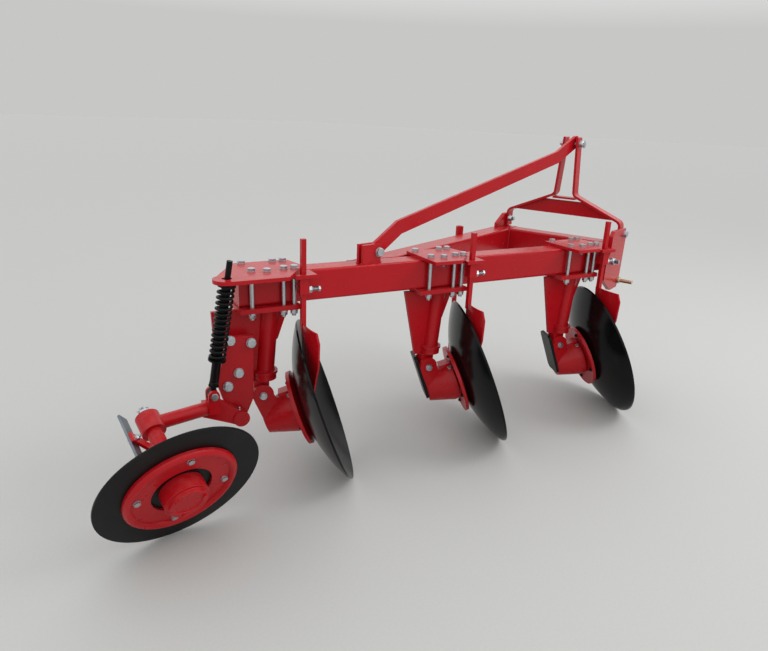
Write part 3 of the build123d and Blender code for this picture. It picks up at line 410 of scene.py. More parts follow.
def plated(name, colour, tint, cloud_mm, rough):
    """Electroplated steel: bright metal with a faint cloudy passivation."""
    made, tree, shader, coords = blank(name, Metallic=1.0)
    cloud = spread(tree, noise(tree, coords, cloud_mm, 3.0), 0.3, 0.7, 0.0, 1.0)
    tree.links.new(blended(tree, cloud, rgba(colour), rgba(tint)), shader.inputs["Base Color"])
    worn = spread(tree, noise(tree, coords, 3.0, 4.0), 0.3, 0.7, rough, rough + 0.18)
    tree.links.new(worn, shader.inputs["Roughness"])
    bump(tree, shader, ((noise(tree, coords, 1.6, 3.0), 0.06, 0.3),))
    return made


def rolled_steel(name, colour):
    """Uncoated flat bar: grey steel with rolling streaks along its length and some blueing."""
    made, tree, shader, coords = blank(name, Metallic=1.0)
    along = WHEEL.to_3x3().transposed().to_euler()
    turned = {"Vector": coords, "Rotation": along, "Scale": (1.0, 1.0, 0.05)}
    lengthwise = node(tree, "ShaderNodeMapping", turned)
    streak = noise(tree, lengthwise.outputs["Vector"], 3.0, 4.0)
    blue = spread(tree, noise(tree, coords, 45.0, 2.0), 0.4, 0.7, 0.0, 0.6)
    body = blended(tree, blue, rgba(colour), rgba(linear("#5D6873")))
    tree.links.new(body, shader.inputs["Base Color"])
    tree.links.new(spread(tree, streak, 0.3, 0.7, 0.28, 0.5), shader.inputs["Roughness"])
    bump(tree, shader, ((streak, 0.1, 0.3),))
    return made


def studio_floor(name, colour):
    """Smooth pale screed: matt, with a grain that is coarse enough to show."""
    made, tree, shader, coords = blank(name, Metallic=0.0, IOR=1.45)
    grain = noise(tree, coords, 9.0, 4.0, 0.7)
    tone = spread(tree, grain, 0.3, 0.7, 0.0, 1.0)
    tree.links.new(blended(tree, tone, rgba(darker(colour, 0.95)), rgba(colour)), shader.inputs["Base Color"])
    shader.inputs["Roughness"].default_value = 0.75
    bump(tree, shader, ((grain, 0.4, 0.25),))
    return made


def finish_for(key):
    """The material of a finish, made on its first use."""
    colours = bpy.context.scene.plough_colours
    if key in bpy.data.materials:
        return bpy.data.materials[key]
    if key == "red_enamel_on_rolled_steel":
        # Sprayed on flat plate and tube: nearly smooth, so edges carry sharp highlights.
        return enamel(key, tuple(colours.red), 4.0, 0.08, 14.0, 0.08, 0.18)
    if key == "red_enamel_on_cast_iron":
        # The same coat over sand castings: the sand's grain softens each highlight.
        return enamel(key, tuple(colours.red), 3.0, 0.12, 7.0, 0.22, 0.26)
    if key == "black_enamel_on_pressed_steel":
        # Discs: hot pressed and dipped, so they mirror the surroundings in a soft band.
        return black_enamel(key, tuple(colours.black), 0.13, 5.0)
    if key == "black_enamel_satin":
        # Wheel rim, spring and back plates: thinner coat that scatters more. On the back plates this black is
        # also painted shade of the hub housings' open backs.
        return black_enamel(key, tuple(colours.black), 0.30, 4.0)
    if key == "bright_zinc_plate":
        # Bolts and studs: white metal with a bluish bloom.
        return plated(key, tuple(colours.zinc), linear("#AEB4BA"), 7.0, 0.26)
    if key == "yellow_zinc_plate":
        # Hitch pins: straw colour that drifts to green and rose.
        return plated(key, tuple(colours.yellow_zinc), linear("#CBBF9E"), 12.0, 0.30)
    if key == "rolled_bare_steel":
        return rolled_steel(key, tuple(colours.steel))
    return studio_floor(key, tuple(colours.floor))


RED = "red_enamel_on_rolled_steel"
CAST_RED = "red_enamel_on_cast_iron"
DISC_BLACK = "black_enamel_on_pressed_steel"
SATIN_BLACK = "black_enamel_satin"
ZINC = "bright_zinc_plate"
YELLOW_ZINC = "yellow_zinc_plate"
BARE = "rolled_bare_steel"
FLOOR = "pale_screed"


# Shapes.


def drum(bm, place, radius, height, sides=32, top=None):
    """Adds a round bar or cone that stands on the place; returns its new vertices."""
    made = bmesh.ops.create_cone(
        bm,
        cap_ends=True,
        cap_tris=False,
        segments=sides,
        radius1=radius,
        radius2=radius if top is None else top,
        depth=height,
        matrix=at(place, z=height / 2),
    )
    return made["verts"]


def soften(bm, edges, width, segments=2):
    """Rounds edges."""
    bmesh.ops.bevel(
        bm,
        geom=edges,
        offset=width,
        offset_type="OFFSET",
        affect="EDGES",
        segments=segments,
        profile=0.5,
        clamp_overlap=True,
        material=-1,
    )


def hexagon(bm, place, flats, height):
    """Adds a hexagon with a turned chamfer on its outer face."""
    radius = flats / sqrt(3)
    drum(bm, place, radius, height * 0.86, 6)
    drum(bm, at(place, z=height * 0.86), flats * 0.545, height * 0.14, 24, flats * 0.46)


def washer(bm, place, size):
    """Adds a flat washer and returns its thickness."""
    width, _, _, _, radius = FASTENERS[size]
    thickness = 0.16 * width * MM
    drum(bm, place, radius * MM, thickness, 28)
    return thickness


def thread(bm, place, size, length):
    """Adds the ridges of a screw thread that stands on the place."""
    bolt = FASTENERS[size][0] * MM / 2
    pitch = 2.0 * MM
    turns = max(1, round(length / pitch))
    for turn in range(turns):
        foot = at(place, z=turn * length / turns)
        drum(bm, foot, bolt * 0.88, length / turns / 2, 18, bolt * 1.01)
        drum(bm, at(foot, z=length / turns / 2), bolt * 1.01, length / turns / 2, 18, bolt * 0.88)


def bolt_head(bm, place, size, with_washer=True):
    """Adds a hexagon head, on a washer, that stands on the place."""
    _, flats, head, _, _ = FASTENERS[size]
    lift = washer(bm, place, size) if with_washer else 0.0
    hexagon(bm, at(place, z=lift), flats * MM, head * MM)


def nut(bm, place, size, tail=0.0):
    """Adds a nut on a washer, and the end of its screw past it."""
    _, flats, _, height, _ = FASTENERS[size]
    lift = washer(bm, place, size)
    hexagon(bm, at(place, z=lift), flats * MM, height * MM)
    if tail > 0:
        thread(bm, at(place, z=lift + height * MM), size, tail)


def bar(bm, place, size_x, size_y, size_z):
    """Adds a rectangular bar that stands on the place."""
    stretch = Matrix.Diagonal((size_x, size_y, size_z, 1.0))
    bmesh.ops.create_cube(bm, size=1.0, matrix=at(place, z=size_z / 2) @ stretch)


def castle_nut(bm, place, size, tail):
    """Adds a slotted nut with its split pin, and the end of its screw past it."""
    width, flats, _, height, _ = FASTENERS[size]
    lift = washer(bm, place, size)
    hexagon(bm, at(place, z=lift), flats * MM, height * MM)
    crown = at(place, z=lift + height * MM)
    for i in range(6):
        turned = crown @ Matrix.Rotation(radians(30 + 60 * i), 4, "Z")
        tooth = at(turned, x=flats * 0.37 * MM)
        bar(bm, tooth, flats * 0.2 * MM, flats * 0.3 * MM, height * 0.42 * MM)
    thread(bm, crown, size, height * 0.42 * MM + tail)
    pin = facing(crown, (-flats * 0.66 * MM, 0, height * 0.22 * MM), AHEAD)
    drum(bm, pin, width * 0.09 * MM, flats * 1.32 * MM, 10)


def weld(bm, first, last, bead=None):
    """Adds a rippled weld bead from one point to another."""
    sizes = bpy.context.scene.plough_sizes
    bead = sizes.bead if bead is None else bead
    run = Vector(last) - Vector(first)
    count = max(2, round(run.length / sizes.ripple))
    step = run.length / count
    line = axes(first, run.orthogonal(), run)
    for i in range(count):
        drum(bm, at(line, z=i * step), bead * 1.04, step, 10, bead * 0.82)


def weld_round(bm, place, radius, bead=None, start=0.0, stop=tau):
    """Adds a rippled weld bead along an arc round the place's axis."""
    sizes = bpy.context.scene.plough_sizes
    bead = sizes.bead if bead is None else bead
    count = max(4, round(radius * (stop - start) / sizes.ripple))
    step = (stop - start) / count
    for i in range(count):
        angle = start + i * step
        spot = place @ Vector((radius * cos(angle), radius * sin(angle), 0))
        way = place.to_3x3() @ Vector((-sin(angle), cos(angle), 0))
        drum(bm, axes(spot, place.to_3x3() @ Vector(UP), way), bead * 1.04, radius * step, 8, bead * 0.82)


def lathe(bm, place, profile, sides):
    """Adds a turned shape: the profile's (radius, height) points are spun round the place's axis."""
    verts = [bm.verts.new((radius, 0.0, height)) for radius, height in profile]
    edges = [bm.edges.new(pair) for pair in zip(verts, verts[1:])]
    bmesh.ops.spin(
        bm,
        geom=verts + edges,
        cent=(0, 0, 0),
        axis=(0, 0, 1),
        dvec=(0, 0, 0),
        angle=tau,
        steps=sides,
        use_merge=True,
        use_duplicate=False,
    )
    bmesh.ops.remove_doubles(bm, verts=bm.verts, dist=1e-6)
    bmesh.ops.recalc_face_normals(bm, faces=bm.faces)
    bmesh.ops.transform(bm, matrix=place, verts=bm.verts)


def piece(name, bm, finish, body=FRAME_BODY, replaces=(), crease=38.0):
    """Makes an object of the mesh, shades it, gives it its finish and lets it ride on its body."""
    mesh = bpy.data.meshes.new(name)
    bm.to_mesh(mesh)
    bm.free()
    mesh.polygons.foreach_set("use_smooth", [True] * len(mesh.polygons))
    mesh.set_sharp_from_angle(angle=radians(crease))
    mesh.materials.append(finish_for(finish))
    made = bpy.data.objects.new(name, mesh)
    bpy.context.scene.collection.objects.link(made)
    even = made.modifiers.new("even_shading", "WEIGHTED_NORMAL")
    even.keep_sharp = True
    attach(made, body)
    if replaces:
        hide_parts(*replaces)
    return made


def copied(name):
    """The CAD node's mesh as a closed bmesh, its flat faces joined."""
    bm = bmesh.new()
    bm.from_mesh(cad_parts[name].data)
    bmesh.ops.remove_doubles(bm, verts=bm.verts, dist=0.01 * MM)
    bmesh.ops.dissolve_limit(
        bm,
        angle_limit=radians(0.4),
        verts=bm.verts,
        edges=bm.edges,
        use_dissolve_boundaries=False,
    )
    return bm


def dressed(name, finish, width, body=FRAME_BODY, segments=2, sharp=28.0):
    """Stands in for a CAD node with the same shape, its edges rounded under the enamel."""
    bm = copied(name)
    edges = [e for e in bm.edges if len(e.link_faces) == 2 and e.calc_face_angle(0) > radians(sharp)]
    if width > 0 and edges:
        soften(bm, edges, width, segments)
    return piece(f"{name}_finished", bm, finish, body, (name,))


def weld_lines(bm, place, lines, bead=None):
    """Adds welds between pairs of points given in the place's axes."""
    for first, last in lines:
        weld(bm, place @ Vector(first), place @ Vector(last), bead)


# Operators: one for each group of pieces.


class PLOUGH_OT_beams(bpy.types.Operator):
    """Three box beams, with their corner welds"""

    bl_idname = "plough.beams"
    bl_label = "Beams"

    def execute(self, context):
        sizes = context.scene.plough_sizes
        for name in ("main_beam", "side_beam", "cross_beam"):
            dressed(name, RED, sizes.plate_edge, sharp=50.0)
        # Where each beam meets the main beam's left face: its two ends along that face.
        bm = bmesh.new()
        corner = HALF_H - 0.0045
        for near, far in ((-0.2671, -0.0391), (1.1011, 1.2070)):
            weld_lines(
                bm,
                BEAM,
                (
                    ((near, HALF_W - 0.003, corner), (far, HALF_W - 0.003, corner)),
                    ((near, HALF_W - 0.003, -corner), (far, HALF_W - 0.003, -corner)),
                    ((near, HALF_W, -corner), (near, HALF_W, corner)),
                ),
                BEAM_BEAD,
            )
        rear_x = FRONT_X - 2 * HALF_W
        weld_lines(
            bm,
            SQUARE,
            (
                ((rear_x, SIDE_RIGHT_Y + 0.003, corner), (FRONT_X, SIDE_RIGHT_Y + 0.003, corner)),
                ((rear_x, SIDE_RIGHT_Y + 0.003, -corner), (FRONT_X, SIDE_RIGHT_Y + 0.003, -corner)),
                ((rear_x, SIDE_RIGHT_Y, -corner), (rear_x, SIDE_RIGHT_Y, corner)),
            ),
            BEAM_BEAD,
        )
        piece("beam_welds", bm, CAST_RED, crease=60.0)
        return {"FINISHED"}


class PLOUGH_OT_hitch(bpy.types.Operator):
    """Hitch plates, lower pins, mast bars, gusset and top pin, with their fasteners"""

    bl_idname = "plough.hitch"
    bl_label = "Hitch and mast"

    def execute(self, context):
        sizes = context.scene.plough_sizes
        for side in ("right", "left"):
            dressed(f"hitch_plate_{side}", RED, sizes.plate_edge)
            dressed(f"mast_bar_{side}", RED, sizes.plate_edge)
            dressed(f"lower_pin_{side}", YELLOW_ZINC, sizes.pin_edge)
        dressed("mast_gusset", RED, sizes.plate_edge)
        dressed("top_pin", ZINC, sizes.pin_edge)
        bm = bmesh.new()
        for out_y, way in ((RIGHT_OUT_Y, RIGHT), (LEFT_OUT_Y, LEFT)):
            inward = tuple(-v for v in way)
            bolt_head(bm, facing(SQUARE, (FOOT_BOLT[0], out_y, FOOT_BOLT[1]), way), "m20")
            foot_y = out_y - way[1] * (HITCH_PLATE_T + BAR_T)
            nut(bm, facing(SQUARE, (FOOT_BOLT[0], foot_y, FOOT_BOLT[1]), inward), "m20", 0.010)
        nut(bm, facing(SQUARE, (BRACE_BOLT[0], RIGHT_OUT_Y, BRACE_BOLT[1]), RIGHT), "m20", 0.020)
        # Top pin: a head on the left, a slotted nut on the right.
        right_end = (BAR_X, HITCH_Y - BAR_OUT, TOP_PIN_Z)
        left_end = (BAR_X, HITCH_Y + BAR_OUT - 0.001, TOP_PIN_Z)
        castle_nut(bm, facing(SQUARE, right_end, RIGHT), "m20", 0.001)
        hexagon(bm, facing(SQUARE, left_end, LEFT), 0.030, 0.0125)
        piece("hitch_fasteners", bm, ZINC)
        bm = bmesh.new()
        low, high = GUSSET_Z
        for way in (-1, 1):
            for x in (BAR_X - GUSSET_HALF_T, BAR_X + GUSSET_HALF_T):
                foot = (x, HITCH_Y + way * arm_half(low), low)
                head = (x, HITCH_Y + way * arm_half(high), high)
                weld_lines(bm, SQUARE, ((foot, head),), 0.0035)
        piece("mast_welds", bm, CAST_RED, crease=60.0)
        # A short flat plate ties the two bars together at their bend.
        bm = bmesh.new()
        bar(bm, at(SQUARE, BAR_X, HITCH_Y, SPACER_LOW_Z), SPACER_W, SPACER_L, SPACER_T)
        soften(bm, bm.edges[:], sizes.plate_edge)
        piece("mast_spacer", bm, RED)
        return {"FINISHED"}


class PLOUGH_OT_stay(bpy.types.Operator):
    """Stay from the main beam to the mast, its bracket and bolt"""

    bl_idname = "plough.stay"
    bl_label = "Stay"

    def execute(self, context):
        sizes = context.scene.plough_sizes
        dressed("mast_stay", RED, sizes.plate_edge)
        dressed("stay_bracket", RED, sizes.plate_edge)
        dressed("stay_bolt", ZINC, 0.0)
        foot = BEAM @ Vector((STAY_STATION, 0, 0))
        stay = axes(foot, SQUARE @ Vector((*STAY_HEAD, 0)) - foot, UP)
        bm = bmesh.new()
        bolt_head(bm, facing(stay, (STAY_BOLT[0], -STAY_OUT, STAY_BOLT[1]), RIGHT), "m20")
        nut(bm, facing(stay, (STAY_BOLT[0], STAY_OUT, STAY_BOLT[1]), LEFT), "m20", 0.008)
        piece("stay_fasteners", bm, ZINC)
        bm = bmesh.new()
        for y in (-STAY_OUT, STAY_OUT):
            weld_lines(bm, stay, (((-0.094, y, HALF_H + 0.001), (-0.006, y, HALF_H + 0.001)),))
        for x in (-0.095, -0.005):
            weld_lines(bm, stay, (((x, -STAY_OUT, HALF_H + 0.001), (x, -0.009, HALF_H + 0.001)),))
            weld_lines(bm, stay, (((x, 0.009, HALF_H + 0.001), (x, STAY_OUT, HALF_H + 0.001)),))
        piece("stay_welds", bm, CAST_RED, crease=60.0)
        return {"FINISHED"}


class PLOUGH_OT_clamps(bpy.types.Operator):
    """Clamp plates over the beam and their through studs, with heads, nuts and washers"""

    bl_idname = "plough.clamps"
    bl_label = "Clamps"

    def execute(self, context):
        sizes = context.scene.plough_sizes
        for name, station in BODIES:
            body = at(BEAM, x=station)
            dressed(f"clamp_plate_{name}", RED, sizes.plate_edge)
            dressed(f"clamp_studs_{name}", ZINC, 0.0)
            bm = bmesh.new()
            for x in STUD_X:
                for y in (-STUD_Y, STUD_Y):
                    bolt_head(bm, facing(body, (x, y, HALF_H + CLAMP_T), UP), "m16")
                    under = facing(body, (x, y, -HALF_H - PLATE_T), DOWN)
                    drum(bm, under, SPRING_WASHER_R, SPRING_WASHER_T, 28)
                    nut(bm, at(under, z=SPRING_WASHER_T), "m16", 0.006)
            # A short bolt sits in front of the beam between the near studs.
            bolt_head(bm, facing(body, (*SHORT_BOLT, HALF_H + CLAMP_T), UP), "m16")
            nut(bm, facing(body, (*SHORT_BOLT, HALF_H), DOWN), "m16", 0.008)
            piece(f"stud_fasteners_{name}", bm, ZINC)
        return {"FINISHED"}


class PLOUGH_OT_legs(bpy.types.Operator):
    """Legs under the clamps, with their welds"""

    bl_idname = "plough.legs"
    bl_label = "Legs"

    def execute(self, context):
        sizes = context.scene.plough_sizes
        lean = Vector((TUBE_TOP_X - TUBE_X, 0, -COLLAR_TOP - HALF_H))
        for name, station in BODIES:
            dressed(f"standard_{name}", CAST_RED, sizes.plate_edge)
            body = at(BEAM, x=station)
            bm = bmesh.new()
            top = body @ Vector((TUBE_TOP_X, 0, -HALF_H - PLATE_T - 0.001))
            weld_round(bm, axes(top, body.to_3x3() @ Vector(AHEAD), UP), TUBE_R + 0.001, 0.0045)
            low = body @ (Vector((TUBE_X, 0, COLLAR_TOP)) + 0.004 * lean)
            weld_round(bm, axes(low, body.to_3x3() @ Vector(AHEAD), UP), TUBE_R + 0.001, 0.0035)
            for y in (-0.008, 0.008):
                under = -HALF_H - PLATE_T - 0.001
                weld_lines(bm, body, (((0.010, y, under), (TUBE_TOP_X - TUBE_R, y, under)),))
            piece(f"leg_welds_{name}", bm, CAST_RED, crease=60.0)
        return {"FINISHED"}


class PLOUGH_OT_hubs(bpy.types.Operator):
    """Disc hubs: carriers, pivot bolts, back plates and turning flanges"""

    bl_idname = "plough.hubs"
    bl_label = "Hubs"

    def execute(self, context):
        sizes = context.scene.plough_sizes
        for name, station in BODIES:
            body = at(BEAM, x=station)
            dressed(f"hub_carrier_{name}", CAST_RED, sizes.plate_edge)
            dressed(f"carrier_bolt_{name}", ZINC, 0.0)
            dressed(f"hub_flange_{name}", CAST_RED, sizes.cast_edge, f"disc_{name}_turning")
            # A black sheet behind the hub housing of the front and middle bodies only, where the housing's
            # back looks dark: black paint, and also painted shade of the housing's open back.
            if name != "rear":
                dressed(f"back_plate_{name}", SATIN_BLACK, sizes.plate_edge)
            bm = bmesh.new()
            bolt_head(bm, facing(body, (TONGUE_X, -CHEEK_OUT, TONGUE_Z), RIGHT), "m16")
            nut(bm, facing(body, (TONGUE_X, CHEEK_OUT, TONGUE_Z), LEFT), "m16", 0.008)
            piece(f"carrier_fasteners_{name}", bm, ZINC)
            place = aimed(body, DISC_AT, DISC_AZ, DISC_EL)
            bm = bmesh.new()
            turn = Matrix.Rotation(radians(118), 4, "Z")
            bolt_head(bm, facing(place @ turn, (HOUSING_R, 0, HUB_SEAT - 0.010), AHEAD), "m10", False)
            piece(f"carrier_plug_{name}", bm, ZINC)
            # Bolts that hold the disc to its flange, heads inside the dish.
            bm = bmesh.new()
            front_z = -DISC_DEPTH + sphere_rise(DISC_FLAT_R) - sphere_rise(FLANGE_BOLT_R) - 0.001
            back_z = FLANGE_BACK + 0.006
            for turn in (12, 102, 192, 282):
                x = FLANGE_BOLT_R * cos(radians(turn))
                y = FLANGE_BOLT_R * sin(radians(turn))
                drum(bm, at(place, x, y, front_z), 0.013, 0.007, 24, 0.009)
                nut(bm, facing(place, (x, y, back_z), DOWN), "m12", 0.006)
            piece(f"disc_bolts_{name}", bm, SATIN_BLACK, f"disc_{name}_turning")
        return {"FINISHED"}


class PLOUGH_OT_discs(bpy.types.Operator):
    """Dished discs with their ground edges"""

    bl_idname = "plough.discs"
    bl_label = "Discs"

    def execute(self, context):
        sides = context.scene.plough_sizes.sides
        arc = [DISC_FLAT_R + (DISC_R - 0.003 - DISC_FLAT_R) * i / 14 for i in range(15)]
        back = [(r, sphere_rise(DISC_R) - sphere_rise(r) - DISC_T) for r in arc]
        front = [(r, sphere_rise(DISC_R) - sphere_rise(r)) for r in reversed(arc)]
        profile = [(0.0, -DISC_DEPTH - DISC_T), *back, (DISC_R - 0.0004, -0.0008), (DISC_R, 0.0)]
        profile += [*front, (0.0, -DISC_DEPTH)]
        for name, station in BODIES:
            place = aimed(at(BEAM, x=station), DISC_AT, DISC_AZ, DISC_EL)
            bm = bmesh.new()
            lathe(bm, place, profile, sides)
            ring_layer = bm.verts.layers.float.new("ring")
            inverse = place.inverted()
            for vert in bm.verts:
                vert[ring_layer] = (inverse @ vert.co).xy.length
            piece(f"disc_{name}_finished", bm, DISC_BLACK, f"disc_{name}_turning", (f"disc_{name}",))
        return {"FINISHED"}


class PLOUGH_OT_scrapers(bpy.types.Operator):
    """Scraper holders, rods and blades"""

    bl_idname = "plough.scrapers"
    bl_label = "Scrapers"

    def execute(self, context):
        sizes = context.scene.plough_sizes
        for name, station in BODIES:
            dressed(f"scraper_holder_{name}", RED, sizes.plate_edge)
            dressed(f"scraper_{name}", RED, sizes.pin_edge)
            body = at(BEAM, x=station)
            bm = bmesh.new()
            set_bolt = facing(body, (ROD_X + 0.018, ROD_Y, 0.0), AHEAD)
            nut(bm, set_bolt, "m16", 0.026)
            hexagon(bm, at(set_bolt, z=0.040), 0.019, 0.009)
            piece(f"scraper_fasteners_{name}", bm, ZINC)
        return {"FINISHED"}


class PLOUGH_OT_furrow_wheel(bpy.types.Operator):
    """Furrow wheel: flat rim, ring and hub"""

    bl_idname = "plough.furrow_wheel"
    bl_label = "Furrow wheel"

    def execute(self, context):
        sizes = context.scene.plough_sizes
        dressed("wheel_rim", SATIN_BLACK, sizes.pin_edge, WHEEL_BODY)
        dressed("wheel_ring", CAST_RED, sizes.cast_edge, WHEEL_BODY)
        dressed("wheel_hub", CAST_RED, sizes.cast_edge, WHEEL_BODY)
        # The axle's far end is turned down to the screw that its nut sits on.
        bm = bmesh.new()
        screw = FASTENERS["m24"][0] * MM / 2
        collar = AXLE_R + AXLE_COLLAR_T
        profile = [(0.0, AXLE_FAR), (screw, AXLE_FAR), (screw, BOSS_FAR)]
        profile += [(AXLE_R, BOSS_FAR), (AXLE_R, BOSS_NEAR)]
        profile += [(collar, BOSS_NEAR), (collar, AXLE_COLLAR_NEAR), (AXLE_R, AXLE_COLLAR_NEAR)]
        profile += [(AXLE_R, AXLE_NEAR), (0.0, AXLE_NEAR)]
        lathe(bm, WHEEL, profile, sizes.sides)
        piece("wheel_axle_finished", bm, RED, replaces=("wheel_axle",))
        bm = bmesh.new()
        for turn in (-4, 86, 176, 266):
            x = RING_BOLT_R * cos(radians(turn))
            y = RING_BOLT_R * sin(radians(turn))
            bolt_head(bm, at(WHEEL, x, y, RIM_T + RING_T), "m12")
            nut(bm, facing(WHEEL, (x, y, -RING_T), DOWN), "m12", 0.006)
        piece("ring_fasteners", bm, ZINC, WHEEL_BODY)
        bm = bmesh.new()
        for turn in (20, 140, 260):
            x = CAP_BOLT_R * cos(radians(turn))
            y = CAP_BOLT_R * sin(radians(turn))
            bolt_head(bm, at(WHEEL, x, y, HUB_FRONT), "m8", False)
        piece("hub_cap_bolts", bm, CAST_RED, WHEEL_BODY)
        bm = bmesh.new()
        seat = facing(WHEEL, (0, 0, BOSS_FAR), DOWN)
        drum(bm, seat, AXLE_WASHER_R, AXLE_WASHER_T, 32)
        castle_nut(bm, at(seat, z=AXLE_WASHER_T), "m24", 0.003)
        piece("axle_nut", bm, ZINC)
        return {"FINISHED"}


class PLOUGH_OT_wheel_arm(bpy.types.Operator):
    """Bracket and sprung arm of the furrow wheel, with its scraper"""

    bl_idname = "plough.wheel_arm"
    bl_label = "Wheel arm"

    def execute(self, context):
        sizes = context.scene.plough_sizes
        dressed("wheel_bracket", RED, sizes.plate_edge)
        dressed("wheel_arm", CAST_RED, sizes.plate_edge)
        dressed("pivot_bolt", CAST_RED, 0.0)
        dressed("clevis_pin", ZINC, 0.0)
        dressed("scraper_lug", RED, sizes.plate_edge)
        dressed("wheel_scraper", BARE, sizes.pin_edge)
        bm = bmesh.new()
        # Places of the bracket's bolts along and above the main beam.
        for along, z in ((-0.768, -0.173), (-0.692, -0.191), (-0.741, -0.301), (-0.782, -0.348)):
            bolt_head(bm, facing(BEAM, (along, -BRACKET_OUT, z), RIGHT), "m20")
        nut(bm, facing(BEAM, (PIVOT[0], -BRACKET_OUT + 0.020, PIVOT[1]), LEFT), "m24", 0.008)
        hexagon(bm, facing(BEAM, (SPRING_LOW[0], SPRING_LOW[1] - 0.026, SPRING_LOW[2]), RIGHT), 0.024, 0.010)
        hexagon(bm, facing(BEAM, (SPRING_LOW[0], SPRING_LOW[1] + 0.026, SPRING_LOW[2]), LEFT), 0.024, 0.010)
        nipple = facing(BEAM, (PIVOT[0] - 0.004, -0.085, PIVOT[1] + 0.029), UP)
        hexagon(bm, nipple, 0.011, 0.006)
        drum(bm, at(nipple, z=0.006), 0.0035, 0.006, 16)
        drum(bm, at(nipple, z=0.012), 0.0045, 0.004, 16, 0.003)
        scrape = WHEEL @ Matrix.Rotation(radians(SCRAPE_TURN), 4, "Z")
        bolt_head(bm, facing(scrape, (0.191, 0.008, -0.109), LEFT), "m10")
        nut(bm, facing(scrape, (0.191, -0.010, -0.109), RIGHT), "m10", 0.005)
        piece("arm_fasteners", bm, ZINC)
        return {"FINISHED"}


class PLOUGH_OT_spring(bpy.types.Operator):
    """Spring of the furrow wheel on its rod"""

    bl_idname = "plough.spring"
    bl_label = "Spring"

    def execute(self, context):
        sizes = context.scene.plough_sizes
        dressed("spring_rod", SATIN_BLACK, sizes.pin_edge)
        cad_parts["spring_coil"].data.materials.clear()
        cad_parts["spring_coil"].data.materials.append(finish_for(SATIN_BLACK))
        foot = BEAM @ Vector(SPRING_LOW)
        spring = axes(foot, BEAM.to_3x3() @ Vector(LEFT), BEAM @ Vector((*SPRING_TOP, HALF_H)) - foot)
        bm = bmesh.new()
        nut(bm, at(spring, z=0.032), "m20")
        piece("spring_nut", bm, SATIN_BLACK)
        return {"FINISHED"}


class PLOUGH_OT_stand(bpy.types.Operator):
    """Parking stand"""

    bl_idname = "plough.stand"
    bl_label = "Parking stand"

    def execute(self, context):
        sizes = context.scene.plough_sizes
        dressed("stand_sleeve", RED, sizes.pin_edge)
        dressed("parking_stand", RED, sizes.pin_edge, STAND_BODY)
        dressed("stand_screw", ZINC, sizes.pin_edge / 2)
        bm = bmesh.new()
        for x in (STAND_X - SLEEVE_R, STAND_X + SLEEVE_R):
            weld_lines(bm, SQUARE, (((x, SIDE_LEFT_Y + 0.002, -0.030), (x, SIDE_LEFT_Y + 0.002, 0.030)),))
        piece("stand_welds", bm, CAST_RED, crease=60.0)
        return {"FINISHED"}


# Camera fitted to the photograph, taken as 768 x 651: focal length in pixels and its angles in degrees.
PHOTO_W = 768
FOCAL_PX = 636.9
CAMERA_AT = (-2.0587, -1.2433, 1.3883)
CAMERA_YAW = 36.09
CAMERA_PITCH = 18.42
CAMERA_ROLL = -2.47
SENSOR_MM = 36.0


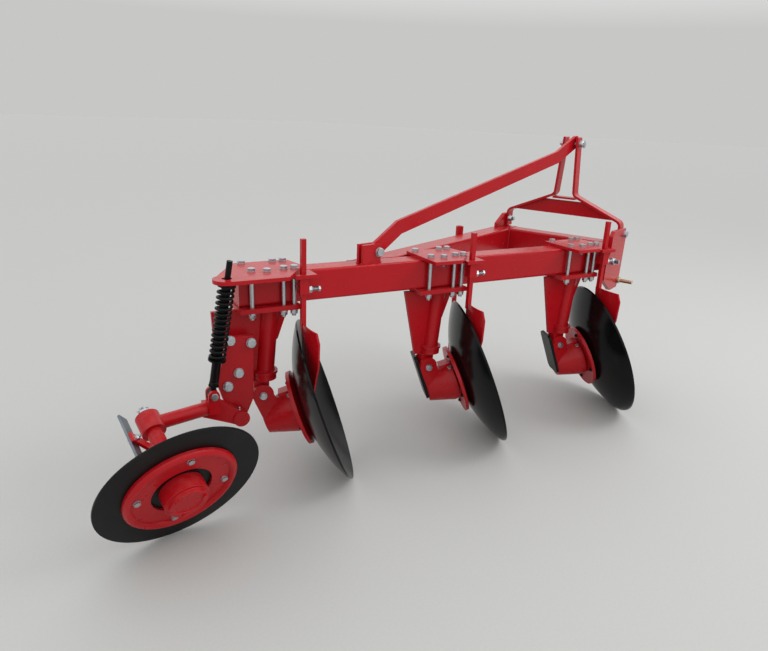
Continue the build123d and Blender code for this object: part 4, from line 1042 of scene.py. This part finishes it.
class PLOUGH_OT_stage(bpy.types.Operator):
    """Pale floor, soft lamps and the camera at the photograph's angle"""

    bl_idname = "plough.stage"
    bl_label = "Stage"

    def execute(self, context):
        bm = bmesh.new()
        bmesh.ops.create_grid(bm, x_segments=1, y_segments=1, size=60.0)
        mesh = bpy.data.meshes.new("floor")
        bm.to_mesh(mesh)
        bm.free()
        mesh.materials.append(finish_for(FLOOR))
        floor = bpy.data.objects.new("floor", mesh)
        context.scene.collection.objects.link(floor)
        self.lamps(context)
        self.world(context)
        self.camera(context)
        context.scene.view_settings.view_transform = "Standard"
        return {"FINISHED"}

    def lamps(self, context):
        """One broad key from ahead on the right and one low fill behind the camera."""
        rows = (
            # name, place, aim, width, height, watts
            ("key", (2.6, -3.4, 4.6), (0.0, 0.0, 0.4), 2.6, 2.6, 90.0),
            ("fill", (-4.6, -3.6, 2.6), (0.0, 0.0, 0.5), 3.5, 2.5, 8.0),
        )
        for name, place, aim, width, height, watts in rows:
            light = bpy.data.lights.new(name, "AREA")
            light.shape = "RECTANGLE"
            light.size = width
            light.size_y = height
            light.energy = watts
            lamp = bpy.data.objects.new(name, light)
            context.scene.collection.objects.link(lamp)
            lamp.location = place
            lamp.rotation_mode = "QUATERNION"
            lamp.rotation_quaternion = (Vector(aim) - Vector(place)).to_track_quat("-Z", "Y")
            lamp.visible_camera = False

    def world(self, context):
        """A pale sky as under an even cloud: the far floor's tone near the horizon, brighter above."""
        world = bpy.data.worlds.new("studio")
        context.scene.world = world
        world.use_nodes = True
        tree = world.node_tree
        sky = tree.nodes["Background"]
        way = node(tree, "ShaderNodeTexCoord").outputs["Generated"]
        height = node(tree, "ShaderNodeSeparateXYZ", {"Vector": way}).outputs["Z"]
        above = spread(tree, height, 0.12, 0.36, 0.0, 1.0)
        overhead = spread(tree, height, 0.36, 1.0, 0.0, 1.0)
        cloud = blended(tree, overhead, (1.26, 1.28, 1.29, 1.0), (0.93, 0.96, 0.98, 1.0))
        tone = blended(tree, above, (0.572, 0.572, 0.562, 1.0), cloud)
        tree.links.new(tone, sky.inputs["Color"])

    def camera(self, context):
        """Camera at the fitted place, with the fitted lens and roll."""
        yaw = radians(CAMERA_YAW)
        pitch = radians(CAMERA_PITCH)
        roll = radians(CAMERA_ROLL)
        look = Vector((cos(pitch) * cos(yaw), cos(pitch) * sin(yaw), -sin(pitch)))
        level = Vector((sin(yaw), -cos(yaw), 0))
        down = look.cross(level)
        right = level * cos(roll) + down * sin(roll)
        lens = bpy.data.cameras.new("camera")
        lens.sensor_width = SENSOR_MM
        lens.lens = FOCAL_PX * SENSOR_MM / PHOTO_W
        camera = bpy.data.objects.new("camera", lens)
        context.scene.collection.objects.link(camera)
        camera.matrix_world = axes(Vector(CAMERA_AT), right, -look)
        context.scene.camera = camera


class PLOUGH_PT_panel(bpy.types.Panel):
    """Sizes, colours and the steps that build the plough"""

    bl_label = "Disc plough"
    bl_idname = "PLOUGH_PT_panel"
    bl_space_type = "VIEW_3D"
    bl_region_type = "UI"
    bl_category = "Plough"

    def draw(self, context):
        layout = self.layout
        for group in (context.scene.plough_sizes, context.scene.plough_colours):
            for key in group.__annotations__:
                layout.prop(group, key)
        for step in STEPS:
            layout.operator(step.bl_idname)


STEPS = (
    PLOUGH_OT_beams,
    PLOUGH_OT_hitch,
    PLOUGH_OT_stay,
    PLOUGH_OT_clamps,
    PLOUGH_OT_legs,
    PLOUGH_OT_hubs,
    PLOUGH_OT_discs,
    PLOUGH_OT_scrapers,
    PLOUGH_OT_furrow_wheel,
    PLOUGH_OT_wheel_arm,
    PLOUGH_OT_spring,
    PLOUGH_OT_stand,
    PLOUGH_OT_stage,
)
CLASSES = (PloughSizes, PloughColours, *STEPS, PLOUGH_PT_panel)


def register():
    for made in CLASSES:
        bpy.utils.register_class(made)
    bpy.types.Scene.plough_sizes = PointerProperty(type=PloughSizes)
    bpy.types.Scene.plough_colours = PointerProperty(type=PloughColours)


def unregister():
    del bpy.types.Scene.plough_colours
    del bpy.types.Scene.plough_sizes
    for made in reversed(CLASSES):
        bpy.utils.unregister_class(made)


def main():
    """Builds the whole plough and its stage."""
    register()
    for step in STEPS:
        group, name = step.bl_idname.split(".")
        getattr(getattr(bpy.ops, group), name)()


if __name__ == "__main__":
    main()
